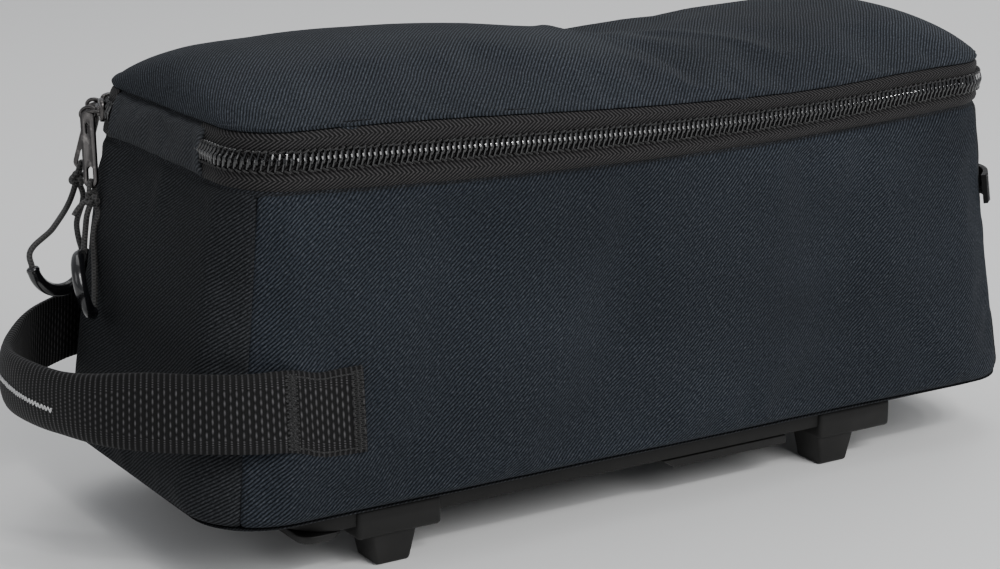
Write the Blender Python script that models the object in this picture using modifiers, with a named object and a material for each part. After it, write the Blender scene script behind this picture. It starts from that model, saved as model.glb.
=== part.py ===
"""Bicycle trunk bag that clips onto a rear rack.

A long box of padded twill stands on a moulded rack adapter with four feet. Its crowned lid
closes with a coil zip that runs round three sides and is hinged by a fabric band at the
handle end. Two zip sliders are parked at the hidden corner of that end, each with a metal
tab, a cord loop and a moulded grip. A webbing handle bows out from the end.

Metres, +Z up, the feet stand at Z = 0, the handle is at -X and the shown long side at -Y.
"""

import math

import bmesh
import bpy
from mathutils import Matrix, Vector

# Body outlines: at the base, and narrower at the lower zip seam and at the lid seam
BASE_LENGTH = 0.360
BASE_WIDTH = 0.149
BASE_CORNER = 0.029
BODY_TAPER_LENGTH = 0.032
BODY_TAPER_WIDTH = 0.020
SEAM_LENGTH = BASE_LENGTH - BODY_TAPER_LENGTH
SEAM_WIDTH = BASE_WIDTH - BODY_TAPER_WIDTH
SEAM_CORNER = 0.021
BAND_TAPER_LENGTH = 0.001
BAND_TAPER_WIDTH = 0.004
LID_LENGTH = SEAM_LENGTH - BAND_TAPER_LENGTH
LID_WIDTH = SEAM_WIDTH - BAND_TAPER_WIDTH
LID_CORNER = 0.022
LID_SHIFT = 0.0025
SIDE_BOW = 0.003
SEAM_HEIGHT = 0.1115
SEAM_SAG = 0.0052
BAND_HEIGHT = 0.020
LID_CROWN = 0.0173
LID_TURN = 0.0016
CORNER_SEAM = 40 / 90

# Cloth walls and the zip
PANEL_WALL = 0.0028
BASE_WALL = 0.0025
BASE_TUCK = 0.0040
TAPE_WALL = 0.0012
COIL_WIDTH = 0.0075
COIL_THICKNESS = 0.0024
COIL_PROUD = 0.0010
COIL_PLACE = 0.53
ZIP_START = 6.86
ZIP_END = 6.02

# Rack adapter under the bag: the plate is set in from the base, and the rest follows its ends
ADAPTER_DEPTH = 0.0250
PLATE_NEAR_INSET = 0.0340
PLATE_FAR_INSET = 0.0635
PLATE_SIDE_INSET = 0.0100
PLATE_NEAR_X = -BASE_LENGTH / 2 + PLATE_NEAR_INSET
PLATE_FAR_X = BASE_LENGTH / 2 - PLATE_FAR_INSET
PLATE_WIDTH = BASE_WIDTH - 2 * PLATE_SIDE_INSET
PLATE_THICKNESS = 0.0059
PLATE_CORNER = 0.0180
RAIL_WIDTH = 0.0080
RAIL_DEPTH = 0.0125
RAIL_START = 0.1115
RAIL_LENGTH = 0.0590
RAIL_SLOPE = 0.0060
NOSE_DEPTH = 0.0130
NOSE_START = 0.0015
NOSE_LENGTH = 0.0175
NOSE_CORNER = 0.0060
NOSE_TAPER = 0.0030
BLOCK_DEPTH = 0.0135
BLOCK_WIDTH = 0.0190
BLOCK_PROUD = 0.0015
BLOCK_OUTER = PLATE_WIDTH / 2 + BLOCK_PROUD
NEAR_BLOCK_START = 0.0220
NEAR_BLOCK_LENGTH = 0.0332
FAR_BLOCK_START = 0.0020
FAR_BLOCK_LENGTH = 0.0355
FOOT_LENGTH = 0.0190
FOOT_WIDTH = 0.0165
FOOT_TAPER = 0.0028
NEAR_FOOT_PLACE = 0.0370
FAR_FOOT_PLACE = 0.0280

# Carry handle
STRAP_WIDTH = 0.0294
STRAP_THICKNESS = 0.0020
GRIP_HEIGHT = 0.0220
GRIP_THICKNESS = 0.0066
GRIP_START = 0.26
GRIP_FULL = 0.42
HANDLE_REACH = 0.0357
HANDLE_SEWN_RUN = 0.0550
HANDLE_PATCH = 0.0240
HANDLE_HEIGHT = 0.0365
HANDLE_RISE = 0.0040
HANDLE_SPACING = 0.0050

# Zip sliders, pull tabs, puller cords and moulded grips
SLIDER_PLACES = {"a": 5.80, "b": 5.46}
SLIDER_LENGTH = 0.0096
SLIDER_HEIGHT = 0.0086
SLIDER_THICKNESS = 0.0028
BAIL_SPREAD = 0.0064
BAIL_RISE = 0.0037
BAIL_WIRE = 0.0012
EYE_RADIUS = 0.0020
EYE_WIRE = 0.0012
TAB_WIDTH = 0.0050
TAB_THICKNESS = 0.0015
TAB_SLOT_LENGTH = 0.0060
TAB_SLOT_WIDTH = 0.0022
KNOT_RADIUS = 0.0034
CORD_DIAMETER = 0.0022
GRIP_TUBE = 0.0048
GRIP_RADIUS = 0.0102
GRIP_LEG = 0.0015
STRAND_TURN = math.radians(21)

# Lamp strap across the far end
LAMP_STRAP_WIDTH = 0.0115
LAMP_STRAP_WALL = 0.0018
LAMP_STRAP_BULGE = 0.0030
LAMP_STRAP_HEIGHT = 0.0760
LAMP_STRAP_TURNS = (1.42, 3.58)

GAP = 0.0003
FRAME_SHIFT = (HANDLE_REACH + GRIP_THICKNESS / 2) / 2
CORNER_STEPS = 6
SIDE_STEPS = 12
END_STEPS = 6
WALL_ROWS = 6
EDGE_STEP = 0.015

# Height of the zip band as shares of BAND_HEIGHT, along the length from -1 to 1
BAND_SHARES = ((-1.0, 0.89), (-0.8, 1.0), (-0.5, 1.04), (0.0, 0.93), (0.4, 0.84), (0.75, 0.85), (1.0, 0.76))

# Lid height as shares of LID_CROWN, along the length: a hump at each end and a dip between
CROWN_SHARES = (
    (-1.0, 0.84),
    (-0.75, 0.86),
    (-0.5, 0.96),
    (-0.2, 0.98),
    (0.05, 0.82),
    (0.25, 0.80),
    (0.5, 0.84),
    (0.72, 0.84),
    (0.85, 0.95),
    (1.0, 0.90),
)
END_SQUARENESS = 12
SIDE_SQUARENESS = 2.6

# Free bow of the handle from the shown side round to the hidden one: reach and side as shares
# of its own reach and half width, and rise as a share of HANDLE_RISE
HANDLE_BOW = (
    (0.00, -1.000, 0.45),
    (0.26, -0.965, 0.65),
    (0.58, -0.790, 0.75),
    (0.84, -0.520, 0.75),
    (0.97, -0.240, 0.70),
    (1.00, 0.000, 0.60),
    (0.97, 0.260, 0.35),
    (0.82, 0.540, 0.10),
    (0.58, 0.790, 0.00),
    (0.26, 0.965, 0.10),
    (0.00, 1.000, 0.20),
)

# Materials: colour, roughness, metallic
FINISHES = {
    "twill": ((0.016, 0.020, 0.027), 0.85, 0.0),
    "dark_twill": ((0.012, 0.013, 0.015), 0.85, 0.0),
    "zip_tape": ((0.010, 0.010, 0.010), 0.8, 0.0),
    "zip_coil": ((0.012, 0.012, 0.013), 0.3, 0.0),
    "webbing": ((0.010, 0.010, 0.011), 0.75, 0.0),
    "adapter_plastic": ((0.016, 0.015, 0.014), 0.5, 0.0),
    "slider_metal": ((0.08, 0.08, 0.085), 0.3, 1.0),
    "cord": ((0.010, 0.010, 0.010), 0.7, 0.0),
    "grip_rubber": ((0.008, 0.008, 0.009), 0.25, 0.0),
}


def lerp(a, b, share):
    """Value at that share of the way from a to b."""
    return a + (b - a) * share


def table_value(table, place):
    """Smooth value of a table of (place, value) rows, by cubic pieces between its rows."""
    rows = [table[0], *table, table[-1]]
    for k in range(1, len(rows) - 2):
        (x0, y0), (x1, y1), (x2, y2), (x3, y3) = rows[k - 1 : k + 3]
        if place <= x2 or k == len(rows) - 3:
            span = x2 - x1
            t = min(max((place - x1) / span, 0.0), 1.0)
            slope_1 = (y2 - y0) / max(x2 - x0, span) * span
            slope_2 = (y3 - y1) / max(x3 - x1, span) * span
            h = t * t * (3 - 2 * t)
            return lerp(y1, y2, h) + slope_1 * t * (1 - t) ** 2 - slope_2 * t * t * (1 - t)
    return table[-1][1]


def ring_point(turn, length, width, corner, bow=0.0):
    """Point (x, y) on a rounded rectangle.

    turn runs from 0 to 8, counter-clockwise from above: 0 to 1 is the -Y side, 1 to 2 its corner,
    2 to 3 the far end, and so on, with the handle end from 6 to 7.
    """
    turn %= 8
    quarter, is_corner = divmod(int(turn), 2)
    part = turn - int(turn)
    halves = (length / 2 - corner, width / 2 - corner)
    along, across = halves if quarter % 2 == 0 else halves[::-1]
    if is_corner:
        angle = part * math.pi / 2
        run = along + corner * math.sin(angle)
        out = across + corner * math.cos(angle)
    else:
        run = lerp(-along, along, part)
        out = across + corner
        if quarter % 2 == 0:
            out += bow * (1 - (run / along) ** 2)
    return ((run, -out), (out, run), (-run, out), (-out, -run))[quarter]


def stations(start, end):
    """Turns from start to end, at every corner step and side step between them."""
    found = [start]
    for k in range(math.floor(start), math.ceil(end)):
        kind = k % 8
        steps = CORNER_STEPS if kind % 2 else (SIDE_STEPS if kind % 4 == 0 else END_STEPS)
        for i in range(steps):
            turn = k + i / steps
            if start + 0.3 / steps < turn < end - 0.3 / steps:
                found.append(turn)
    return [*found, end]


def strip_stations(start, end):
    """Stations of an open strip, with a short step at each cut end so its wall ends square."""
    inner = stations(start + EDGE_STEP, end - EDGE_STEP)
    return [start, *inner, end]


def seam_z(share):
    """Height of the lower zip seam over the feet, at a share of the half length."""
    return ADAPTER_DEPTH + SEAM_HEIGHT - SEAM_SAG * (1 - min(share * share, 1.0))


def band_height(share):
    """Height of the band between the lower zip seam and the lid seam."""
    return BAND_HEIGHT * table_value(BAND_SHARES, share)


def seam_share(turn):
    """Place along the length, from -1 to 1, of a turn of the seam outline."""
    return ring_point(turn, SEAM_LENGTH, SEAM_WIDTH, SEAM_CORNER)[0] / (SEAM_LENGTH / 2)


def wall_point(turn, height, out=0.0):
    """Point of the outer wall: height runs from 0 at the base to 1 at the lower zip seam."""
    x, y = ring_point(
        turn,
        lerp(BASE_LENGTH, SEAM_LENGTH, height) + 2 * out,
        lerp(BASE_WIDTH, SEAM_WIDTH, height) + 2 * out,
        lerp(BASE_CORNER, SEAM_CORNER, height) + out,
        SIDE_BOW * height,
    )
    top = seam_z(seam_share(turn))
    return Vector((x, y, lerp(ADAPTER_DEPTH, top, height)))


def height_share(z):
    """Share of the wall's height at a height over the feet, away from the sagging seam."""
    return (z - ADAPTER_DEPTH) / (SEAM_HEIGHT - SEAM_SAG / 2)


def band_point(turn, rise, out=0.0):
    """Point of the zip band, rise above the lower zip seam."""
    share = seam_share(turn)
    height = band_height(share)
    low = Vector(
        (
            *ring_point(turn, SEAM_LENGTH + 2 * out, SEAM_WIDTH + 2 * out, SEAM_CORNER + out, SIDE_BOW),
            seam_z(share),
        )
    )
    high = Vector(
        (
            *ring_point(turn, LID_LENGTH + 2 * out, LID_WIDTH + 2 * out, LID_CORNER + out, SIDE_BOW),
            seam_z(share) + height,
        )
    )
    high.x += LID_SHIFT
    return low.lerp(high, rise / height)


def turn_for(distance, turn):
    """Change of turn that moves a point of the seam outline by that distance."""
    step = 0.01
    a = Vector(ring_point(turn, SEAM_LENGTH, SEAM_WIDTH, SEAM_CORNER))
    b = Vector(ring_point(turn + step, SEAM_LENGTH, SEAM_WIDTH, SEAM_CORNER))
    return distance * step / (b - a).length


def turn_at_x(x, height):
    """Turn of the -Y side at that x and share of the wall's height."""
    half = lerp(BASE_LENGTH, SEAM_LENGTH, height) / 2 - lerp(BASE_CORNER, SEAM_CORNER, height)
    return (x + half) / (2 * half)


def material(name):
    """Principled material of that finish, made once."""
    found = bpy.data.materials.get(name)
    if found:
        return found
    colour, roughness, metallic = FINISHES[name]
    made = bpy.data.materials.new(name)
    made.use_nodes = True
    shader = made.node_tree.nodes["Principled BSDF"]
    shader.inputs["Base Color"].default_value = (*colour, 1.0)
    shader.inputs["Roughness"].default_value = roughness
    shader.inputs["Metallic"].default_value = metallic
    return made


def add_part(name, mesh, finish, smooth_angle=math.radians(40)):
    """Puts a mesh in the bag's collection as one named part."""
    if isinstance(mesh, bmesh.types.BMesh):
        made = bpy.data.meshes.new(name)
        mesh.to_mesh(made)
        mesh.free()
        mesh = made
    mesh.shade_smooth()
    mesh.set_sharp_from_angle(angle=smooth_angle)
    mesh.materials.clear()
    mesh.materials.append(material(finish))
    part = bpy.data.objects.new(name, mesh)
    bpy.data.collections["trunk_bag"].objects.link(part)
    return part


def grid_mesh(rows):
    """Open surface through rows of points, facing right of the columns and up the rows."""
    mesh = bmesh.new()
    verts = [[mesh.verts.new(p) for p in row] for row in rows]
    for low, high in zip(verts, verts[1:]):
        for k in range(len(low) - 1):
            mesh.faces.new((low[k], low[k + 1], high[k + 1], high[k]))
    return mesh


def loft_mesh(rings):
    """Closed solid through rings of points, with a cap on the first and the last."""
    mesh = bmesh.new()
    verts = [[mesh.verts.new(p) for p in ring] for ring in rings]
    for low, high in zip(verts, verts[1:]):
        for k in range(len(low)):
            n = (k + 1) % len(low)
            mesh.faces.new((low[k], low[n], high[n], high[k]))
    mesh.faces.new(verts[0][::-1])
    mesh.faces.new(verts[-1])
    bmesh.ops.recalc_face_normals(mesh, faces=mesh.faces)
    return mesh


def add_shell(name, surface, wall, finish):
    """Cloth piece: an open surface thickened inward."""
    part = add_part(name, surface, finish)
    solidify = part.modifiers.new("wall", "SOLIDIFY")
    solidify.thickness = wall
    solidify.offset = -1
    return part


def add_wall_panel(name, start, end, finish):
    """Panel of the body from the base seam to the lower zip seam, between two corner seams."""
    start += turn_for(GAP / 2, start)
    end -= turn_for(GAP / 2, end)
    lean = (BASE_LENGTH - SEAM_LENGTH) / 2 / SEAM_HEIGHT
    lift = Vector((0, 0, GAP + PANEL_WALL * lean))
    rows = []
    for k in range(WALL_ROWS + 1):
        height = k / WALL_ROWS
        row = [wall_point(turn, height) for turn in strip_stations(start, end)]
        if k == 0:
            row = [p + lift for p in row]
        rows.append(row)
    return add_shell(name, grid_mesh(rows), PANEL_WALL, finish)


def add_body():
    """Four padded wall panels and the flat base panel under them."""
    seam = CORNER_SEAM
    add_wall_panel("side_panel_right", -seam, 1 + seam, "twill")
    add_wall_panel("end_panel_far", 1 + seam, 4 - seam, "twill")
    add_wall_panel("side_panel_left", 4 - seam, 5 + seam, "twill")
    add_wall_panel("end_panel_handle", 5 + seam, 8 - seam, "twill")
    turns = stations(0, 8)[:-1]
    outline = [ring_point(turn, BASE_LENGTH - BASE_TUCK, BASE_WIDTH, BASE_CORNER) for turn in turns]
    low = [Vector((x + BASE_TUCK / 2, y, ADAPTER_DEPTH - BASE_WALL)) for x, y in outline]
    high = [Vector((x + BASE_TUCK / 2, y, ADAPTER_DEPTH)) for x, y in outline]
    add_part("base_panel", loft_mesh([low, high]), "dark_twill")


def add_band_strip(name, start, end, rises, wall, finish):
    """Strip of the band that follows the zip seam. rises gives, for a place, its rows: (rise, out)."""
    turns = strip_stations(start, end)
    columns = [rises(seam_share(turn)) for turn in turns]
    rows = []
    for k in range(len(columns[0])):
        rows.append([band_point(turn, *column[k]) for turn, column in zip(turns, columns)])
    return add_shell(name, grid_mesh(rows), wall, finish)


def add_zip():
    """Coil zip round three sides: two tapes with the coil between, and the fabric hinge band."""
    start = ZIP_START - 8 + turn_for(GAP / 2, ZIP_START)
    end = ZIP_END - turn_for(GAP / 2, ZIP_END)

    def coil_low(share):
        return COIL_PLACE * band_height(share) - COIL_WIDTH / 2

    def lower_tape(share):
        return ((GAP, 0.0), (coil_low(share) - GAP, 0.0))

    def coil(share):
        low = coil_low(share)
        return ((low, 0.0), (low + COIL_WIDTH / 2, COIL_PROUD), (low + COIL_WIDTH, 0.0))

    def upper_tape(share):
        low = coil_low(share) + COIL_WIDTH
        return ((low + GAP, 0.0), (band_height(share), 0.0))

    def hinge(share):
        height = band_height(share)
        return ((GAP, 0.0), (height / 2, 0.0), (height, 0.0))

    add_band_strip("zip_tape_lower", start, end, lower_tape, TAPE_WALL, "zip_tape")
    add_band_strip("zip_coil", start, end, coil, COIL_THICKNESS, "zip_coil")
    add_band_strip("zip_tape_upper", start, end, upper_tape, TAPE_WALL, "zip_tape")
    hinge_start = ZIP_END + turn_for(GAP / 2, ZIP_END)
    hinge_end = ZIP_START - turn_for(GAP / 2, ZIP_START)
    add_band_strip("hinge_band", hinge_start, hinge_end, hinge, PANEL_WALL, "twill")


def lid_point(along, across):
    """Point of the lid's outer surface, both places from -1 to 1."""
    corner_start = LID_LENGTH / 2 - LID_CORNER
    run = abs(along) * LID_LENGTH / 2
    half_width = LID_WIDTH / 2
    if run > corner_start:
        dip = min((run - corner_start) / LID_CORNER, 1.0)
        half_width += LID_CORNER * (math.sqrt(1 - dip * dip) - 1)
    else:
        half_width += SIDE_BOW * (1 - (run / corner_start) ** 2)
    ends = math.sqrt(max(1 - abs(along) ** END_SQUARENESS, 0.0))
    sides = max(1 - abs(across) ** SIDE_SQUARENESS, 0.0) ** 0.75
    crown = LID_CROWN * table_value(CROWN_SHARES, along) * ends * sides
    return Vector(
        (
            LID_SHIFT + along * LID_LENGTH / 2,
            across * half_width,
            seam_z(along) + band_height(along) + LID_TURN + crown,
        )
    )


def add_lid():
    """Crowned lid panel whose edge turns down to the lid seam."""
    start = 1 - 2 * LID_CORNER / LID_LENGTH
    bend = 1 - start
    corner = [start + bend * math.sin(math.pi / 2 * k / CORNER_STEPS) for k in range(1, CORNER_STEPS + 1)]
    middle = [lerp(-start, start, k / SIDE_STEPS) for k in range(SIDE_STEPS + 1)]
    along = [-a for a in corner[::-1]] + middle + corner
    across = [math.sin(math.pi / 2 * (k / END_STEPS - 1)) for k in range(2 * END_STEPS + 1)]
    surface = grid_mesh([[lid_point(a, c) for a in along] for c in across])
    edges = [edge for edge in surface.edges if edge.is_boundary]
    turned = bmesh.ops.extrude_edge_only(surface, edges=edges)["geom"]
    for vert in turned:
        if isinstance(vert, bmesh.types.BMVert):
            vert.co.z -= LID_TURN - GAP
    add_shell("lid_panel", surface, PANEL_WALL, "twill")


def box_mesh(low, high):
    """Plain box between two corners, from a cube."""
    mesh = bmesh.new()
    bmesh.ops.create_cube(mesh, size=1)
    size = Vector(high) - Vector(low)
    middle = (Vector(high) + Vector(low)) / 2
    place = Matrix.Translation(middle) @ Matrix.Diagonal((*size, 1))
    bmesh.ops.transform(mesh, matrix=place, verts=mesh.verts)
    return mesh


def add_adapter():
    """Moulded rack adapter: plate with a pocket at each foot block, two rails and four feet."""
    top = ADAPTER_DEPTH - BASE_WALL - GAP
    low = top - PLATE_THICKNESS
    plate_length = PLATE_FAR_X - PLATE_NEAR_X
    middle = (PLATE_FAR_X + PLATE_NEAR_X) / 2
    near_block = (PLATE_NEAR_X + NEAR_BLOCK_START, PLATE_NEAR_X + NEAR_BLOCK_START + NEAR_BLOCK_LENGTH)
    far_block = (PLATE_FAR_X - FAR_BLOCK_START - FAR_BLOCK_LENGTH, PLATE_FAR_X - FAR_BLOCK_START)
    near_foot = PLATE_NEAR_X + NEAR_FOOT_PLACE
    far_foot = PLATE_FAR_X - FAR_FOOT_PLACE
    outline = [ring_point(turn, plate_length, PLATE_WIDTH, PLATE_CORNER) for turn in stations(0, 8)[:-1]]
    rings = [[Vector((x + middle, y, z)) for x, y in outline] for z in (low, top)]
    plate = add_part("adapter_plate", loft_mesh(rings), "adapter_plastic", math.radians(30))
    nose = []
    for z, taper in ((ADAPTER_DEPTH - NOSE_DEPTH, NOSE_TAPER), (low - GAP, 0.0)):
        length = NOSE_LENGTH - taper
        turns = stations(0, 8)[:-1]
        outline = [ring_point(turn, length, PLATE_WIDTH - 2 * taper, NOSE_CORNER) for turn in turns]
        nose_x = PLATE_NEAR_X + NOSE_START + NOSE_LENGTH / 2
        nose.append([Vector((x + nose_x, y, z)) for x, y in outline])
    add_part("adapter_nose", loft_mesh(nose), "adapter_plastic", math.radians(30))
    for side, sign in (("right", -1), ("left", 1)):
        add_rail(f"adapter_rail_{side}", sign, low - GAP)
        for end, block_x, foot_x in (("near", near_block, near_foot), ("far", far_block, far_foot)):
            add_foot(f"adapter_foot_{end}_{side}", sign, top, block_x, foot_x, plate)


def add_rail(name, sign, top):
    """Rail under one edge of the plate, with a slope at its handle end."""
    inner, outer = sorted((sign * (PLATE_WIDTH / 2 - RAIL_WIDTH), sign * PLATE_WIDTH / 2))
    low = ADAPTER_DEPTH - RAIL_DEPTH
    start = PLATE_FAR_X - RAIL_START
    end = start + RAIL_LENGTH
    profile = ((start, top), (start + RAIL_SLOPE, low), (end, low), (end, top))
    rings = [[Vector((x, y, z)) for x, z in profile] for y in (inner, outer)]
    add_part(name, loft_mesh(rings), "adapter_plastic", math.radians(30))


def add_foot(name, sign, top, block_x, foot_x, plate):
    """Block in a pocket of the plate with a tapered foot below it, one solid."""
    inner, outer = sorted((sign * (BLOCK_OUTER - BLOCK_WIDTH), sign * BLOCK_OUTER))
    low = Vector((block_x[0], inner, ADAPTER_DEPTH - BLOCK_DEPTH))
    high = Vector((block_x[1], outer, top))
    block = add_part(name, box_mesh(low, high), "adapter_plastic", math.radians(30))
    room = Vector((GAP, GAP, GAP))
    cut_with(plate, f"{name}_pocket", box_mesh(low - room, high + room), "DIFFERENCE")
    foot_y = sign * (BLOCK_OUTER - BLOCK_WIDTH / 2)
    rings = []
    for z, taper in ((0.0, FOOT_TAPER), (low.z + BLOCK_DEPTH / 4, 0.0)):
        half_x = FOOT_LENGTH / 2 - taper
        half_y = FOOT_WIDTH / 2 - taper / 2
        corners = ((-1, -1), (1, -1), (1, 1), (-1, 1))
        rings.append([Vector((foot_x + a * half_x, foot_y + b * half_y, z)) for a, b in corners])
    cut_with(block, f"{name}_leg", loft_mesh(rings), "UNION")


def cut_with(part, name, shape, operation):
    """Boolean of a part with a shape that is kept as a guide, out of renders."""
    mesh = bpy.data.meshes.new(name)
    shape.to_mesh(mesh)
    shape.free()
    guide = bpy.data.objects.new(name, mesh)
    bpy.data.collections["cutters"].objects.link(guide)
    guide.hide_render = True
    guide.display_type = "WIRE"
    boolean = part.modifiers.new(name, "BOOLEAN")
    boolean.operation = operation
    boolean.solver = "EXACT"
    boolean.object = guide


def smooth_line(points, spacing):
    """Points on a smooth curve through the given points, about that far apart."""
    points = [Vector(p) for p in points]
    steps = [(b - a).length for a, b in zip(points, points[1:])]
    ways = [(b - a) / step for a, b, step in zip(points, points[1:], steps)]
    slopes = [ways[0]]
    for k in range(1, len(ways)):
        slopes.append((ways[k - 1] * steps[k] + ways[k] * steps[k - 1]) / (steps[k - 1] + steps[k]))
    slopes.append(ways[-1])
    fine = []
    for k, step in enumerate(steps):
        for i in range(12):
            t = i / 12
            leave = t * (1 - t) ** 2 * step
            arrive = t * t * (1 - t) * step
            along = points[k].lerp(points[k + 1], t * t * (3 - 2 * t))
            fine.append(along + slopes[k] * leave - slopes[k + 1] * arrive)
    fine.append(points[-1])
    lengths = [0.0]
    for a, b in zip(fine, fine[1:]):
        lengths.append(lengths[-1] + (b - a).length)
    count = round(lengths[-1] / spacing)
    places = [lengths[-1] * i / count for i in range(count + 1)]
    edge = spacing / 3
    places = [0.0, edge, *places[1:-1], lengths[-1] - edge, lengths[-1]]
    spaced = []
    k = 0
    for place in places:
        while k < len(fine) - 2 and lengths[k + 1] < place:
            k += 1
        share = (place - lengths[k]) / max(lengths[k + 1] - lengths[k], 1e-9)
        spaced.append(fine[k].lerp(fine[k + 1], share))
    return spaced


def handle_line():
    """Middle line of the handle, from its sewn end on the -Y side to that on the +Y side."""
    centre = ADAPTER_DEPTH + HANDLE_HEIGHT
    stand_off = GAP + STRAP_THICKNESS / 2
    sewn = []
    for share in (0.0, 0.35, 0.7):
        height = height_share(centre)
        place = HANDLE_SEWN_RUN - HANDLE_PATCH * share - BASE_LENGTH / 2
        point = wall_point(turn_at_x(place, height), height, stand_off)
        point.z = centre
        sewn.append(point)
    place = HANDLE_SEWN_RUN - HANDLE_PATCH - BASE_LENGTH / 2
    leave = wall_point(turn_at_x(place, height), height, stand_off)
    reach = -BASE_LENGTH / 2 - HANDLE_REACH - leave.x
    bow = []
    for bow_reach, bow_side, rise in HANDLE_BOW:
        place = (leave.x + reach * bow_reach, -leave.y * bow_side, centre + HANDLE_RISE * rise)
        bow.append(Vector(place))
    hidden = [Vector((p.x, -p.y, p.z)) for p in sewn[::-1]]
    return smooth_line(sewn + bow + hidden, HANDLE_SPACING)


def add_handle():
    """Webbing handle: flat where it is sewn on, folded to a rounded grip in the middle."""
    line = handle_line()
    runs = [0.0]
    for a, b in zip(line, line[1:]):
        runs.append(runs[-1] + (b - a).length)
    lean = (BASE_WIDTH - SEAM_WIDTH) / 2 / SEAM_HEIGHT
    rings = []
    for k, point in enumerate(line):
        ahead = line[min(k + 1, len(line) - 1)] - line[max(k - 1, 0)]
        inward = Vector((ahead.y, -ahead.x, 0)).normalized()
        from_end = min(runs[k], runs[-1] - runs[k]) / runs[-1]
        share = min(max((from_end - GRIP_START) / (GRIP_FULL - GRIP_START), 0.0), 1.0)
        share = share * share * (3 - 2 * share)
        half_height = lerp(STRAP_WIDTH, GRIP_HEIGHT, share) / 2
        half_wall = lerp(STRAP_THICKNESS, GRIP_THICKNESS, share) / 2
        squareness = lerp(6.0, 2.2, share)
        up = Vector((0, 0, 1)) + inward * lean * (1 - share)
        ring = []
        for i in range(12):
            angle = 2 * math.pi * (i + 0.5) / 12
            c, s = math.cos(angle), math.sin(angle)
            wide = math.copysign(abs(c) ** (2 / squareness), c)
            tall = math.copysign(abs(s) ** (2 / squareness), s)
            ring.append(point + inward * wide * half_wall + up * tall * half_height)
        rings.append(ring)
    add_part("carry_handle", loft_mesh(rings), "webbing", math.radians(50))


def add_lamp_strap():
    """Webbing strap across the far end, sewn at its ends and middle, with two lamp loops."""
    start, end = LAMP_STRAP_TURNS
    turns = stations(start, end)
    middle = (start + end) / 2
    rows = []
    for rise in (-0.5, 0.0, 0.5):
        z = ADAPTER_DEPTH + LAMP_STRAP_HEIGHT + rise * LAMP_STRAP_WIDTH
        height = height_share(z)
        row = []
        for turn in turns:
            loop = math.sin(math.pi * (turn - middle) / (middle - start)) ** 2
            out = GAP + LAMP_STRAP_WALL + LAMP_STRAP_BULGE * loop
            point = wall_point(turn, height, out)
            point.z = z
            row.append(point)
        rows.append(row)
    add_shell("lamp_strap", grid_mesh(rows), LAMP_STRAP_WALL, "webbing")


def slider_frame(turn):
    """Place on the coil and the directions along the zip and outward there."""
    share = seam_share(turn)
    middle = COIL_PLACE * band_height(share)
    point = band_point(turn, middle, COIL_PROUD)
    ahead = band_point(turn + 0.02, middle, COIL_PROUD) - band_point(turn - 0.02, middle, COIL_PROUD)
    ahead.z = 0
    ahead.normalize()
    return point, ahead, Vector((ahead.y, -ahead.x, 0))


def tube_curve(name, line, diameter):
    """Curve along a line with a round bevel and filled caps."""
    curve = bpy.data.curves.new(name, "CURVE")
    curve.dimensions = "3D"
    curve.bevel_depth = diameter / 2
    curve.bevel_resolution = 2
    curve.use_fill_caps = True
    spline = curve.splines.new("POLY")
    spline.points.add(len(line) - 1)
    for place, point in zip(spline.points, line):
        place.co = (*point, 1)
    return curve


def add_tube(name, line, diameter, finish):
    """Tube part that stays a curve object."""
    curve = tube_curve(name, line, diameter)
    curve.materials.append(material(finish))
    part = bpy.data.objects.new(name, curve)
    bpy.data.collections["trunk_bag"].objects.link(part)
    return part


# Pullers, as they hang: the tab's foot from its bail, and from that foot the middle of the grip's
# two mouths and the points each strand of the cord passes. The grip's ways are from mouth to
# mouth and to its bottom
PULLERS = {
    "a": {
        "tab_drop": (-0.0031, -0.0088, -0.0264),
        "tab_way": (0.60, -0.80, 0.0),
        "grip_drop": (-0.0074, -0.0096, -0.0323),
        "grip_chord": (-0.009, 0.369, 0.929),
        "grip_bulge": (-0.52, -0.80, 0.28),
        "cord_spread": (-1.0, 0.10, 0.0),
        "cord_guides": (
            ((-0.0029, 0.0005, -0.0155),),
            ((-0.0001, -0.0014, -0.0135), (-0.0017, -0.0038, -0.0275), (-0.0037, -0.0075, -0.0380)),
        ),
    },
    "b": {
        "tab_drop": (-0.0061, 0.0026, -0.0243),
        "tab_way": (0.80, -0.60, 0.0),
        "grip_drop": (-0.0161, -0.0112, -0.0294),
        "grip_chord": (-0.978, -0.110, -0.178),
        "grip_bulge": (0.192, -0.138, -0.972),
        "cord_spread": (-0.95, -0.10, 0.0),
        "cord_guides": (
            ((-0.0152, -0.0085, -0.0205), (-0.0216, -0.0108, -0.0256)),
            ((-0.0048, -0.0070, -0.0195),),
        ),
    },
}


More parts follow.
